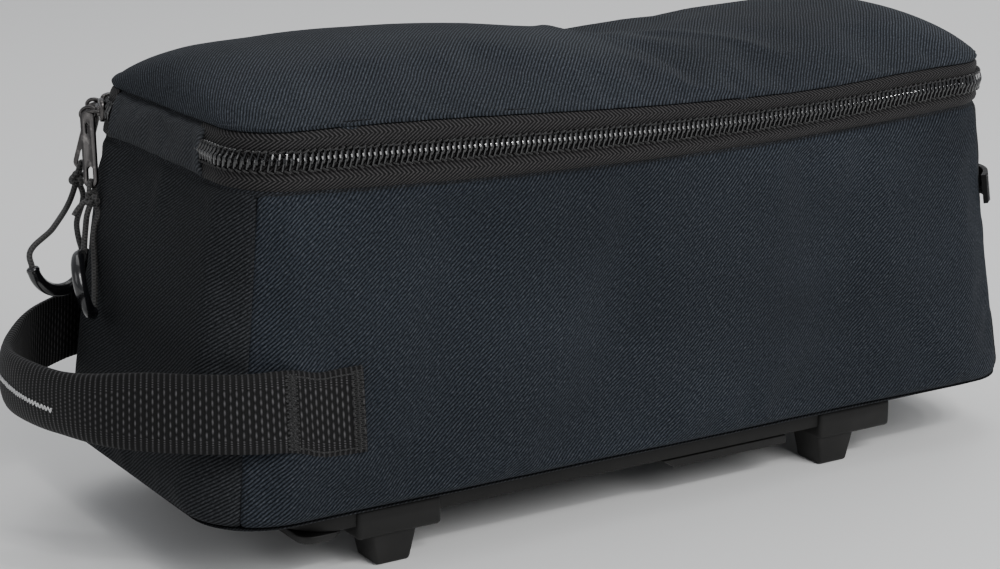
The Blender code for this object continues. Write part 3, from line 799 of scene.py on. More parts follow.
class Nodes:
    """Small builder of a material's nodes."""

    def __init__(self, name: str) -> None:
        """Starts a material of that name with its shader and output.

        Args:
            name: Name of the material.
        """
        self.material = bpy.data.materials.new(name)
        self.material.use_nodes = True
        self.tree = self.material.node_tree
        self.shader = self.tree.nodes["Principled BSDF"]

    def add(self, kind: str, inputs: dict | None = None, **settings: object) -> bpy.types.Node:
        """Adds a node.

        Args:
            kind: Its type, without the ShaderNode in front.
            inputs: Values or sockets for its inputs, by name or number.
            settings: Its own properties.

        Returns:
            The node.
        """
        made = self.tree.nodes.new("ShaderNode" + kind)
        for key, value in settings.items():
            setattr(made, key, value)
        for key, value in (inputs or {}).items():
            self.feed(made.inputs[key], value)
        return made

    def feed(self, socket: bpy.types.NodeSocket, value: object) -> None:
        """Links a socket, or sets its value.

        Args:
            socket: The input.
            value: A socket or a value.
        """
        if isinstance(value, bpy.types.NodeSocket):
            self.tree.links.new(value, socket)
        else:
            socket.default_value = value

    def sum(self, operation: str, a: object, b: object = 0.0, c: object = 0.0) -> bpy.types.NodeSocket:
        """Result of a Math node."""
        return self.add("Math", {0: a, 1: b, 2: c}, operation=operation).outputs[0]

    def cloth(self) -> bpy.types.NodeSocket:
        """The piece's own UV map, in metres."""
        return self.add("UVMap", uv_map=CLOTH_UV).outputs["UV"]

    def parts(self, vector: bpy.types.NodeSocket) -> tuple[bpy.types.NodeSocket, bpy.types.NodeSocket]:
        """The x and y of a vector."""
        split = self.add("SeparateXYZ", {0: vector})
        return split.outputs[0], split.outputs[1]

    def object_place(self) -> bpy.types.NodeSocket:
        """The Object coordinates."""
        return self.add("TexCoord").outputs["Object"]

    def noise(self, place: bpy.types.NodeSocket, scale: float, detail: float = 2.0) -> bpy.types.NodeSocket:
        """Value of a Noise texture."""
        return self.add("TexNoise", {"Vector": place, "Scale": scale, "Detail": detail}).outputs["Fac"]

    def stretched(self, place: bpy.types.NodeSocket, scale: Point, turn: float = 0.0) -> bpy.types.NodeSocket:
        """A vector scaled along each axis after a turn about Z.

        Args:
            place: The vector.
            scale: Factor for each axis.
            turn: Angle about Z.

        Returns:
            The new vector.
        """
        inputs = {"Vector": place, "Rotation": (0, 0, turn)}
        turned = self.add("Mapping", inputs).outputs[0]
        return self.add("Mapping", {"Vector": turned, "Scale": scale}).outputs[0]

    def lines(self, place: bpy.types.NodeSocket, pitch: float) -> bpy.types.NodeSocket:
        """Soft lines from 0 to 1 across a number, one for each pitch."""
        phase = self.sum("MULTIPLY", place, 2 * math.pi / pitch)
        return self.sum("MULTIPLY_ADD", self.sum("SINE", phase), 0.5, 0.5)

    def ramp(self, value: bpy.types.NodeSocket, low: Point, high: Point, ends: tuple = (0.0, 1.0)) -> object:
        """Colour between two, by a value.

        Args:
            value: The value.
            low: Colour at the first end.
            high: Colour at the last end.
            ends: The two ends.

        Returns:
            The colour.
        """
        made = self.add("ValToRGB", {0: value})
        made.color_ramp.elements[0].color = (*low, 1)
        made.color_ramp.elements[1].color = (*high, 1)
        made.color_ramp.elements[0].position = ends[0]
        made.color_ramp.elements[1].position = ends[1]
        return made.outputs[0]

    def mix(self, share: object, a: object, b: object, blend: str = "MIX") -> bpy.types.NodeSocket:
        """Mix of two colours.

        Args:
            share: How much of the second.
            a: The first.
            b: The second.
            blend: Kind of mix.

        Returns:
            The mix.
        """
        made = self.add("Mix", {0: share}, data_type="RGBA", blend_type=blend)
        self.feed(made.inputs[6], a)
        self.feed(made.inputs[7], b)
        return made.outputs[2]

    def bump(self, height: bpy.types.NodeSocket, depth: float, strength: float = 1.0) -> None:
        """Adds a bump to the shader's normal, on top of one that it has.

        Args:
            height: Height of the surface.
            depth: Its real depth.
            strength: Share of it that shows.
        """
        inputs = {"Height": height, "Distance": depth, "Strength": strength}
        made = self.add("Bump", inputs)
        old = self.shader.inputs["Normal"]
        if old.links:
            self.tree.links.new(old.links[0].from_socket, made.inputs["Normal"])
        self.tree.links.new(made.outputs[0], old)

    def finish(self, **values: object) -> bpy.types.Material:
        """Sets the shader's sockets, underscores standing for spaces, and returns the material.

        Args:
            values: Values or sockets by input.

        Returns:
            The material.
        """
        for key, value in values.items():
            self.feed(self.shader.inputs[key.replace("_", " ")], value)
        return self.material


@dataclass(frozen=True)
class Finish:
    """A named finish. Each kind makes its own material."""

    name: str
    slot: str

    def make(self) -> bpy.types.Material:
        """Makes the material."""
        raise NotImplementedError

    def dress(self, piece: Piece) -> Piece:
        """Puts the finish on a piece.

        Args:
            piece: The piece.

        Returns:
            The same piece.
        """
        made = bpy.data.materials.get(self.name) or self.make()
        piece.data.materials.clear()
        piece.data.materials.append(made)
        return piece


@dataclass(frozen=True)
class Twill(Finish):
    """Melange twill: diagonal yarn lines of mixed shades, slightly faded in places."""

    valley: Point = (0.0030, 0.0038, 0.0050)
    ridge: Point = (0.0215, 0.0262, 0.0340)
    fleck: Point = (0.085, 0.094, 0.108)
    pitch: float = 0.00112
    lean: Weave = Weave.RISING
    depth: float = 0.00022

    def make(self) -> bpy.types.Material:
        """Makes the twill's material on the piece's own UV map.

        Returns:
            The material.
        """
        nodes = Nodes(self.name)
        place = nodes.cloth()
        u, v = nodes.parts(place)
        wobble = nodes.noise(nodes.stretched(place, (60, 60, 1)), 1.0, 3.0)
        run = nodes.sum("SUBTRACT", u, nodes.sum("MULTIPLY", v, self.lean.value))
        run = nodes.sum("MULTIPLY_ADD", wobble, self.pitch * 1.6, run)
        line = nodes.lines(run, self.pitch * math.hypot(1, self.lean.value))
        yarn = nodes.noise(nodes.stretched(place, (2600, 620, 1), math.atan(self.lean.value)), 1.0, 2.0)
        fine = nodes.noise(nodes.stretched(place, (1300, 1300, 1)), 1.0, 3.0)
        uneven = nodes.sum("MULTIPLY_ADD", fine, 2.0, -0.1)
        broken = nodes.sum("MULTIPLY", nodes.sum("MULTIPLY_ADD", line, 0.85, 0.12), uneven)
        colour = nodes.ramp(broken, self.valley, self.ridge, (0.12, 0.95))
        flecks = nodes.sum("MULTIPLY", broken, nodes.sum("POWER", yarn, 3.2))
        colour = nodes.mix(nodes.sum("MULTIPLY", flecks, 2.4), colour, (*self.fleck, 1))
        fade = nodes.noise(nodes.stretched(place, (9, 14, 1)), 1.0, 3.0)
        faded = nodes.ramp(fade, (0.62, 0.62, 0.64), (1.28, 1.30, 1.34), (0.3, 0.7))
        colour = nodes.mix(0.5, colour, faded, "MULTIPLY")
        nodes.bump(broken, self.depth, 0.9)
        rough = nodes.sum("MULTIPLY_ADD", broken, -0.12, 0.92)
        return nodes.finish(
            Base_Color=colour,
            Roughness=rough,
            Sheen_Weight=0.02,
            Sheen_Roughness=0.5,
            Specular_IOR_Level=0.06,
        )


@dataclass(frozen=True)
class Herringbone(Finish):
    """Zip tape: narrow rows of slanting yarns that turn back along its middle."""

    valley: Point = (0.0010, 0.0010, 0.0011)
    ridge: Point = (0.052, 0.049, 0.050)
    pitch: float = 0.00165
    row: float = 0.0042
    slant: float = 1.15

    def make(self) -> bpy.types.Material:
        """Makes the tape's material on the piece's own UV map.

        Returns:
            The material.
        """
        nodes = Nodes(self.name)
        place = nodes.cloth()
        u, v = nodes.parts(place)
        folded = nodes.sum("PINGPONG", v, self.row)
        run = nodes.sum("MULTIPLY_ADD", folded, -self.slant, u)
        line = nodes.lines(run, self.pitch)
        fine = nodes.noise(nodes.stretched(place, (1800, 1800, 1)), 1.0, 1.0)
        broken = nodes.sum("MULTIPLY", line, nodes.sum("MULTIPLY_ADD", fine, 1.2, 0.3))
        colour = nodes.ramp(broken, self.valley, self.ridge, (0.34, 1.0))
        nodes.bump(broken, 0.0002, 0.9)
        return nodes.finish(Base_Color=colour, Roughness=0.72, Sheen_Weight=0.04, Specular_IOR_Level=0.18)


@dataclass(frozen=True)
class Webbing(Finish):
    """Ribbed webbing: ribs across the strap, beaded by its lengthwise yarns."""

    valley: Point = (0.0006, 0.0006, 0.0007)
    ridge: Point = (0.082, 0.080, 0.083)
    pitch: float = RIB_PITCH
    bead: float = 0.00095

    def make(self) -> bpy.types.Material:
        """Makes the webbing's material on the piece's own UV map.

        Returns:
            The material.
        """
        nodes = Nodes(self.name)
        place = nodes.cloth()
        u, v = nodes.parts(place)
        rib = nodes.sum("POWER", nodes.lines(u, self.pitch), 2.4)
        stagger = nodes.sum("MULTIPLY", nodes.sum("FLOOR", nodes.sum("DIVIDE", u, self.pitch)), self.bead / 2)
        bead = nodes.lines(nodes.sum("ADD", v, stagger), self.bead)
        fuzz = nodes.noise(nodes.stretched(place, (1400, 2200, 1)), 1.0, 2.0)
        height = nodes.sum("MULTIPLY", rib, nodes.sum("MULTIPLY_ADD", bead, 0.75, 0.25))
        shade = nodes.sum("MULTIPLY", height, nodes.sum("MULTIPLY_ADD", fuzz, 1.1, 0.4))
        colour = nodes.ramp(shade, self.valley, self.ridge, (0.18, 1.0))
        nodes.bump(height, 0.00035, 0.9)
        return nodes.finish(Base_Color=colour, Roughness=0.7, Sheen_Weight=0.04, Specular_IOR_Level=0.2)


@dataclass(frozen=True)
class Moulded(Finish):
    """Moulded plastic or rubber with a fine grain and rubbed places."""

    colour: Point = (0.0072, 0.0070, 0.0066)
    rubbed: Point = (0.0150, 0.0145, 0.0138)
    roughness: float = 0.55
    shine: float = 0.3
    grain: float = 0.00006
    grain_scale: float = 2400.0
    coat: float = 0.0

    def make(self) -> bpy.types.Material:
        """Makes the moulding's material on Object coordinates.

        Returns:
            The material.
        """
        nodes = Nodes(self.name)
        place = nodes.object_place()
        grain = nodes.noise(place, self.grain_scale, 2.0)
        wear = nodes.noise(place, 90.0, 5.0)
        colour = nodes.ramp(wear, self.colour, self.rubbed, (0.5, 0.85))
        rough = nodes.sum("MULTIPLY_ADD", wear, 0.22, self.roughness - 0.11)
        nodes.bump(grain, self.grain, 0.7)
        return nodes.finish(
            Base_Color=colour, Roughness=rough, Specular_IOR_Level=self.shine, Coat_Weight=self.coat
        )


@dataclass(frozen=True)
class Metal(Finish):
    """Dark plated metal with brushed streaks."""

    colour: Point = (0.095, 0.090, 0.088)
    worn: Point = (0.33, 0.31, 0.30)
    roughness: float = 0.30

    def make(self) -> bpy.types.Material:
        """Makes the metal's material on Object coordinates.

        Returns:
            The material.
        """
        nodes = Nodes(self.name)
        place = nodes.object_place()
        streak = nodes.noise(nodes.stretched(place, (1800, 1800, 160)), 1.0, 3.0)
        wear = nodes.noise(place, 400.0, 4.0)
        colour = nodes.ramp(wear, self.colour, self.worn, (0.55, 0.85))
        rough = nodes.sum("MULTIPLY_ADD", streak, 0.2, self.roughness - 0.1)
        nodes.bump(streak, 0.00003, 0.5)
        return nodes.finish(Base_Color=colour, Roughness=rough, Metallic=1.0)


@dataclass(frozen=True)
class Thread(Finish):
    """Twisted or braided thread, with its strands winding round."""

    colour: Point = (0.012, 0.012, 0.012)
    light: Point = (0.05, 0.05, 0.05)
    pitch: float = 0.0011
    twist: float = 0.6
    roughness: float = 0.65

    def make(self) -> bpy.types.Material:
        """Makes the thread's material on the piece's own UV map.

        Returns:
            The material.
        """
        nodes = Nodes(self.name)
        place = nodes.cloth()
        u, v = nodes.parts(place)
        first = nodes.lines(nodes.sum("MULTIPLY_ADD", v, self.twist, u), self.pitch)
        second = nodes.lines(nodes.sum("MULTIPLY_ADD", v, -self.twist, u), self.pitch)
        braid = nodes.sum("MAXIMUM", first, second)
        braid = nodes.sum("POWER", braid, 2.0)
        fuzz = nodes.noise(nodes.stretched(place, (2500, 2500, 1)), 1.0, 2.0)
        shade = nodes.sum("MULTIPLY", braid, nodes.sum("MULTIPLY_ADD", fuzz, 1.0, 0.4))
        colour = nodes.ramp(shade, self.colour, self.light, (0.15, 1.0))
        nodes.bump(braid, 0.00018, 0.9)
        return nodes.finish(Base_Color=colour, Roughness=self.roughness, Sheen_Weight=0.1)


SIDE_TWILL = Twill("navy_melange_twill", "twill")
# Lighter copy of the side twill for the lid: the lighter colour is painted light, standing in for the top
# light on the lid.
LIT_LID_TWILL = Twill(
    "lit_navy_melange_twill_lid",
    "twill",
    valley=(0.0045, 0.0050, 0.0058),
    ridge=(0.0275, 0.0325, 0.0400),
    lean=Weave.STEEP,
)
# Darker copy of the side twill for both end walls: painted shade, for the ends turned away from the light.
SHADED_END_TWILL = Twill(
    "shaded_melange_twill",
    "twill",
    valley=(0.0040, 0.0042, 0.0048),
    ridge=(0.0225, 0.0245, 0.0270),
    fleck=(0.070, 0.073, 0.078),
    lean=Weave.SLANTING,
)
# Much lighter copy of the twill for the hinge band, with a shallower bump: the lighter colour is painted
# light.
LIT_HINGE_TWILL = Twill(
    "lit_smooth_melange_twill",
    "twill",
    valley=(0.0150, 0.0160, 0.0175),
    ridge=(0.045, 0.048, 0.053),
    fleck=(0.100, 0.104, 0.112),
    depth=0.00012,
)
BASE_CLOTH = Twill("base_cloth", "dark_twill", valley=(0.004, 0.004, 0.004), ridge=(0.013, 0.013, 0.014))
TAPE = Herringbone("zip_tape_herringbone", "zip_tape")
COIL = Moulded(
    "zip_coil_nylon",
    "zip_coil",
    (0.003, 0.003, 0.0034),
    (0.008, 0.008, 0.009),
    0.20,
    0.6,
    0.00001,
    900.0,
    0.7,
)
STRAP = Webbing("ribbed_webbing", "webbing")
STITCH = Thread(
    "black_stitching",
    "webbing",
    (0.0015, 0.0015, 0.0015),
    (0.012, 0.012, 0.012),
    0.0007,
    1.0,
    0.5,
)
COIL_STITCH = Thread(
    "coil_stitching",
    "zip_tape",
    (0.003, 0.003, 0.003),
    (0.022, 0.021, 0.020),
    0.0007,
    1.0,
    0.6,
)
BRIGHT_STITCH = Thread("white_stitching", "webbing", (0.45, 0.45, 0.45), (0.85, 0.85, 0.85), 0.0008, 1.0, 0.5)
PLASTIC = Moulded("black_moulded_plastic", "adapter_plastic")
METAL = Metal("dark_plated_metal", "slider_metal")
CORD_BRAID = Thread("braided_cord", "cord", (0.006, 0.006, 0.0065), (0.06, 0.058, 0.055), 0.0012, 0.5, 0.6)
RUBBER = Moulded(
    "glossy_rubber",
    "grip_rubber",
    (0.004, 0.004, 0.005),
    (0.008, 0.008, 0.009),
    0.22,
    0.5,
    0.00002,
    700.0,
    0.5,
)


# The studio -------------------------------------------------------------------------------------


@dataclass
class Studio:
    """Camera at the photograph's angle, pale floor and soft lights."""

    eye: Point = (-0.4570, -0.7103, 0.3015)
    back: Point = (-0.5170, -0.8150, 0.2620)
    right: Point = (0.8440, -0.5360, 0.0)
    roll: float = 0.32
    lens: float = 82.81
    floor_size: float = 12.0

    def build(self) -> None:
        """Makes the camera, the lights and the floor."""
        self.add_camera()
        self.add_light("key", (0.2, -1.9, 1.5), (0.02, 0.0, 0.08), 1.4, 34)
        self.add_light("side", (-1.9, -0.3, 0.9), (-0.15, 0.0, 0.08), 1.0, 4)
        self.add_light("top", (0.3, 0.5, 1.9), (0.05, 0.0, 0.12), 1.6, 11)
        self.add_light("rim", (1.8, 1.2, 1.0), (0.1, 0.0, 0.12), 1.0, 6)
        for name, x in (("glint_near", -0.1), ("glint_middle", 0.5), ("glint_far", 1.1)):
            self.add_light(name, (x, -1.5, 1.6), (0.05, 0.0, 0.12), 0.10, 4)
        self.add_world()
        self.add_floor()

    def add_camera(self) -> None:
        """Camera that sees the bag as the photograph does."""
        back = Vector(self.back).normalized()
        right = Vector(self.right).normalized()
        up = back.cross(right)
        turn = math.radians(self.roll)
        across = right * math.cos(turn) + up * math.sin(turn)
        upward = up * math.cos(turn) - right * math.sin(turn)
        view = bpy.data.cameras.new("camera")
        view.lens = self.lens
        view.sensor_width = 36
        view.clip_start = 0.05
        camera = bpy.data.objects.new("camera", view)
        camera.matrix_world = frame_of(across, upward, back, Vector(self.eye))
        bpy.context.scene.collection.objects.link(camera)
        bpy.context.scene.camera = camera

    def add_light(self, name: str, place: Point, target: Point, size: float, power: float) -> None:
        """Square soft light.

        Args:
            name: Its name.
            place: Where it stands.
            target: What it points at.
            size: Side of the square.
            power: Its watts.
        """
        lamp = bpy.data.lights.new(name, "AREA")
        lamp.size = size
        lamp.energy = power
        light = bpy.data.objects.new(name, lamp)
        way = Vector(target) - Vector(place)
        light.matrix_world = Matrix.Translation(place) @ way.to_track_quat("-Z", "Y").to_matrix().to_4x4()
        bpy.context.scene.collection.objects.link(light)

    def add_world(self) -> None:
        """Even pale surroundings."""
        world = bpy.data.worlds.new("studio")
        world.use_nodes = True
        ground = world.node_tree.nodes["Background"]
        ground.inputs[0].default_value = (0.93, 0.95, 1.0, 1)
        ground.inputs[1].default_value = 0.42
        bpy.context.scene.world = world

    def add_floor(self) -> None:
        """Plain pale floor."""
        deselect()
        bpy.ops.mesh.primitive_plane_add(size=self.floor_size)
        floor = fresh("floor")
        nodes = Nodes("pale_floor")
        floor.data.materials.append(nodes.finish(Base_Color=(0.80, 0.80, 0.79, 1), Roughness=0.9))


# Cloth ------------------------------------------------------------------------------------------


@dataclass
class ClothSettling:
    """Cloth simulation that lets sewn panels settle between their seams."""

    frames: int = 20
    pressure: float = 0.35
    slack: float = 0.012
    most: float = 0.0022
    pieces: list[Piece] = field(default_factory=list)

    def add(self, piece: Piece, pressure: float | None = None, slack: float | None = None) -> None:
        """Prepares a panel, its border pinned as its seams hold it.

        Args:
            piece: The open surface.
            pressure: Its own pressure, or the usual one.
            slack: How much longer its cloth is than its seams, or the usual share.
        """
        border = piece.vertex_groups.new(name="seams")
        count: dict[tuple[int, int], int] = {}
        for face in piece.data.polygons:
            for key in face.edge_keys:
                count[key] = count.get(key, 0) + 1
        edge = sorted({v for key, faces in count.items() if faces == 1 for v in key})
        border.add(edge, 1.0, "REPLACE")
        cloth = piece.modifiers.new("settle", "CLOTH")
        settings = cloth.settings
        settings.quality = 4
        settings.mass = 0.25
        settings.tension_stiffness = 12
        settings.compression_stiffness = 12
        settings.shear_stiffness = 6
        settings.bending_stiffness = 2.0
        settings.vertex_group_mass = "seams"
        settings.shrink_min = -(self.slack if slack is None else slack)
        settings.use_pressure = True
        settings.uniform_pressure_force = self.pressure if pressure is None else pressure
        settings.effector_weights.gravity = 0
        cloth.collision_settings.use_collision = False
        cloth.point_cache.frame_start = 1
        cloth.point_cache.frame_end = self.frames
        self.pieces.append(piece)

    def run(self) -> None:
        """Steps the simulation, caps how far each point moved and applies it."""
        scene = bpy.context.scene
        before = {p.name: [v.co.copy() for v in p.data.vertices] for p in self.pieces}
        for step in range(1, self.frames + 1):
            scene.frame_set(step)
        for piece in self.pieces:
            apply_modifiers(piece)
            piece.vertex_groups.clear()
            for vertex, old in zip(piece.data.vertices, before[piece.name]):
                moved = vertex.co - old
                if moved.length > self.most:
                    beyond = 0.0004 * math.tanh((moved.length - self.most) * 500)
                    vertex.co = old + moved.normalized() * (self.most + beyond)
        scene.frame_set(1)


def seam_roll(distance: float, reach: float, depth: float) -> float:
    """How far a padded panel drops at a distance from its seam."""
    share = min(max(distance / reach, 0.0), 1.0)
    return -depth * (1 - math.sqrt(1 - (1 - share) ** 2))


@dataclass
class WallPanels:
    """The four padded walls between the base and the lower zip seam, and the base panel."""

    corner_seam: float = 40 / 90
    wall: float = 0.0022
    cell: float = 0.0030
    roll_reach: float = 0.0042
    roll_depth: float = 0.0007
    settling: ClothSettling = field(
        default_factory=lambda: ClothSettling(pressure=0.25, slack=0.010, most=0.0016)
    )

    def panel(self, name: str, start: float, end: float) -> Piece:
        """One wall panel.

        Args:
            name: Name of the piece.
            start: Turn of its first corner seam.
            end: Turn of its last one.

        Returns:
            The open surface with its edges rolled into the seams.
        """
        length = BAG.wall_length(start, end, 0.5)
        height = BAG.seam_height
        columns = round(length / self.cell)
        rows = round(height / self.cell)
        turns = BAG.spaced_turns(start, end, 0.5, columns)
        seed = Vector((start * 7.3, 0, 0))

        def place(u: float, v: float) -> Vector:
            """Point of the padded panel.

            Args:
                u: Place along, from 0 to 1.
                v: Place across, from 0 to 1.

            Returns:
                The point.
            """
            turn = turns[round(u * columns)]
            run = u * length
            rise = v * height
            sides = seam_roll(min(run, length - run), self.roll_reach, self.roll_depth)
            top = seam_roll(height - rise, 0.0032, 0.0014)
            low = seam_roll(rise, 0.0045, 0.0016)
            pucker = noise.noise(Vector((run * 160, rise * 22, 3)) + seed)
            near = math.exp(-min(run, length - run) / 0.012) + 0.7 * math.exp(-(height - rise) / 0.010)
            wave = noise.noise(Vector((run * 16, rise * 20, 9)) + seed)
            out = sides + top + low + 0.0003 * pucker * near + 0.0007 * wave - 0.0001
            point = BAG.wall(turn, v, out)
            gap = GAP * (1 - v * 2) if rise < 0.002 else 0.0
            point.z += gap
            return point

        return shaped_grid(name, (length, height), (columns, rows), place)

    def build(self) -> list[Piece]:
        """Makes the four walls and the base panel.

        Returns:
            The finished pieces.
        """
        seam = self.corner_seam
        shift = -0.010
        spans = {
            "side_wall_right": (-seam + shift, 1 + seam - shift, SIDE_TWILL, "side_panel_right"),
            "end_wall_far": (1 + seam + shift, 4 - seam - shift, SHADED_END_TWILL, "end_panel_far"),
            "side_wall_left": (4 - seam + shift, 5 + seam - shift, SIDE_TWILL, "side_panel_left"),
            "end_wall_handle": (5 + seam + shift, 8 - seam - shift, SHADED_END_TWILL, "end_panel_handle"),
        }
        made = []
        for name, (start, end, finish, node) in spans.items():
            piece = self.panel(name, start, end)
            self.settling.add(piece)
            made.append((piece, finish, node))
        self.settling.run()
        for piece, finish, node in made:
            refined(thickened(piece, self.wall))
            finish.dress(smooth_shaded(piece, 60))
            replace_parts(piece, node)
            ride_all([piece])
        return [piece for piece, _, _ in made] + [self.base()]

    def base(self) -> Piece:
        """Base panel of dark cloth with a rounded edge, hung between the walls.

        Returns:
            The finished piece.
        """
        deselect()
        bpy.ops.mesh.primitive_circle_add(vertices=96, radius=1, fill_type="NGON")
        piece = fresh("base_cloth_panel")
        length, width, corner = BAG.base
        low, high = (0.0145, 0.0135), (0.0050, 0.0040)
        for vertex in piece.data.vertices:
            turn = (math.atan2(vertex.co.y, vertex.co.x) / (2 * math.pi) * 8 + 2.5) % 8
            x, y = BAG.ring(turn, length - low[0], width - low[1], corner - 0.006)
            vertex.co = (x + BAG.frame_shift, y, BAG.base_z - 0.0024)
        choose(piece, lambda face: True)
        bpy.ops.mesh.extrude_region_move(TRANSFORM_OT_translate={"value": (0, 0, 0.0023)})
        spread = ((length - high[0]) / (length - low[0]), (width - high[1]) / (width - low[1]), 1)
        bpy.ops.transform.resize(value=spread, center_override=(BAG.frame_shift, 0, BAG.base_z))
        bpy.ops.mesh.select_all(action="SELECT")
        bpy.ops.mesh.normals_make_consistent(inside=False)
        bpy.ops.object.mode_set(mode="OBJECT")
        bevelled(piece, 0.0006, 3, 20)
        layers = piece.data.uv_layers
        layer = layers[0] if layers else layers.new(name=CLOTH_UV)
        layer.name = CLOTH_UV
        for loop in piece.data.loops:
            point = piece.data.vertices[loop.vertex_index].co
            layer.data[loop.index].uv = (point.x, point.y + point.z)
        BASE_CLOTH.dress(smooth_shaded(piece, 50))
        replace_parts(piece, "base_panel")
        ride_all([piece])
        return piece


@dataclass
class LidPanel:
    """Crowned lid with the long creases and the bulged corner that its cloth shows."""

    cell: float = 0.0026
    wall: float = 0.0022
    creases: tuple = (
        (((0.014, -0.02), (0.037, -0.22), (0.053, -0.44), (0.088, -0.74)), 0.0011, 0.0024, 0.0),
        (((0.16, -0.02), (0.23, -0.17), (0.305, -0.33), (0.353, -0.51), (0.392, -0.67)), 0.0011, 0.0026, 0.0),
        (((0.25, -0.14), (0.367, 0.02), (0.47, 0.16)), 0.0012, 0.0045, 0.0),
        (((0.02, 0.20), (0.05, 0.45), (0.10, 0.75)), 0.0012, 0.0050, -0.0003),
        (((0.46, -0.80), (0.55, -0.70), (0.66, -0.66)), 0.0008, 0.0060, 0.0),
    )
    settling: ClothSettling = field(
        default_factory=lambda: ClothSettling(pressure=0.15, slack=0.012, most=0.0016)
    )

    def crease(self, along: float, across: float) -> float:
        """Rise of the creases at a place on the lid.

        Args:
            along: Place along the length.
            across: Place across the width.

        Returns:
            The rise.
        """
        place = Vector((along * BAG.lid[0] / 2, across * BAG.lid[1] / 2))
        total = 0.0
        for points, rise, width, valley in self.creases:
            line = [Vector((a * BAG.lid[0] / 2, c * BAG.lid[1] / 2)) for a, c in points]
            best = (1.0, 0.0, 0.0)
            for k, (a, b) in enumerate(zip(line, line[1:])):
                way = b - a
                t = min(max((place - a).dot(way) / way.length_squared, 0.0), 1.0)
                away = place - a.lerp(b, t)
                side = way.x * away.y - way.y * away.x
                if away.length < best[0]:
                    best = (away.length, (k + t) / (len(line) - 1), math.copysign(1, side))
            distance, run, side = best
            fade = math.sin(math.pi * min(max(run * 0.92 + 0.04, 0.0), 1.0)) ** 0.6
            ridge = rise * math.exp(-((distance / width) ** 2))
            if side < 0:
                ridge += valley * math.exp(-(((distance - width * 1.6) / (width * 1.3)) ** 2))
            total += ridge * fade
        return total

    def build(self) -> Piece:
        """Makes the lid.

        Returns:
            The finished piece.
        """
        length, width, corner = BAG.lid
        columns = round(length / self.cell)
        rows = round(width * 1.06 / self.cell)

        def place(u: float, v: float) -> Vector:
            """Point of the creased lid.

            Args:
                u: Place along, from 0 to 1.
                v: Place across, from 0 to 1.

            Returns:
                The point.
            """
            bend = 2 * corner / length
            along = 2 * u - 1
            share = abs(along)
            if share > 1 - bend:
                share = 1 - bend + bend * math.sin(math.pi / 2 * (share - 1 + bend) / bend)
            along = math.copysign(share, along)
            across = math.sin(math.pi / 2 * (2 * v - 1))
            point = BAG.lid_at(along, across)
            edge = min((1 - share) * length / 2, (1 - abs(across)) * width / 2)
            fill = smooth(edge / 0.012)
            wave = noise.noise(Vector((point.x * 22, point.y * 30, 5)))
            long_wave = noise.noise(Vector((point.x * 9, point.y * 14, 2)))
            point.z += (self.crease(along, across) + 0.0006 * wave + 0.0012 * long_wave) * fill
            pucker = noise.noise(Vector((point.x * 150, point.y * 150, 1)))
            point.z += 0.00025 * pucker * math.exp(-edge / 0.006)
            return point

        piece = shaped_grid("lid_cloth", (length, width * 1.05), (columns, rows), place)
        measure_cloth(piece, columns, rows)
        self.settling.add(piece)
        self.settling.run()
        self.turn_edge(piece)
        refined(thickened(piece, self.wall))
        LIT_LID_TWILL.dress(smooth_shaded(piece, 60))
        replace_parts(piece, "lid_panel")
        ride_all([piece])
        return piece

    def turn_edge(self, piece: Piece) -> None:
        """Turns the lid's border down into the lid seam by two extrusions.

        Args:
            piece: The lid.
        """
        for drop, inward in ((0.0009, 0.0), (0.0007, 0.0004)):
            activate(piece)
            bpy.ops.object.mode_set(mode="EDIT")
            bpy.ops.mesh.select_mode(type="EDGE")
            bpy.ops.mesh.select_all(action="DESELECT")
            bpy.ops.mesh.select_non_manifold()
            bpy.ops.mesh.extrude_edges_move(TRANSFORM_OT_translate={"value": (0, 0, -drop)})
            if inward:
                middle = (BAG.frame_shift + BAG.lid_shift, 0, 0)
                share = 1 - inward / (BAG.lid[1] / 2)
                bpy.ops.transform.resize(value=(share, share, 1), center_override=middle)
            bpy.ops.object.mode_set(mode="OBJECT")


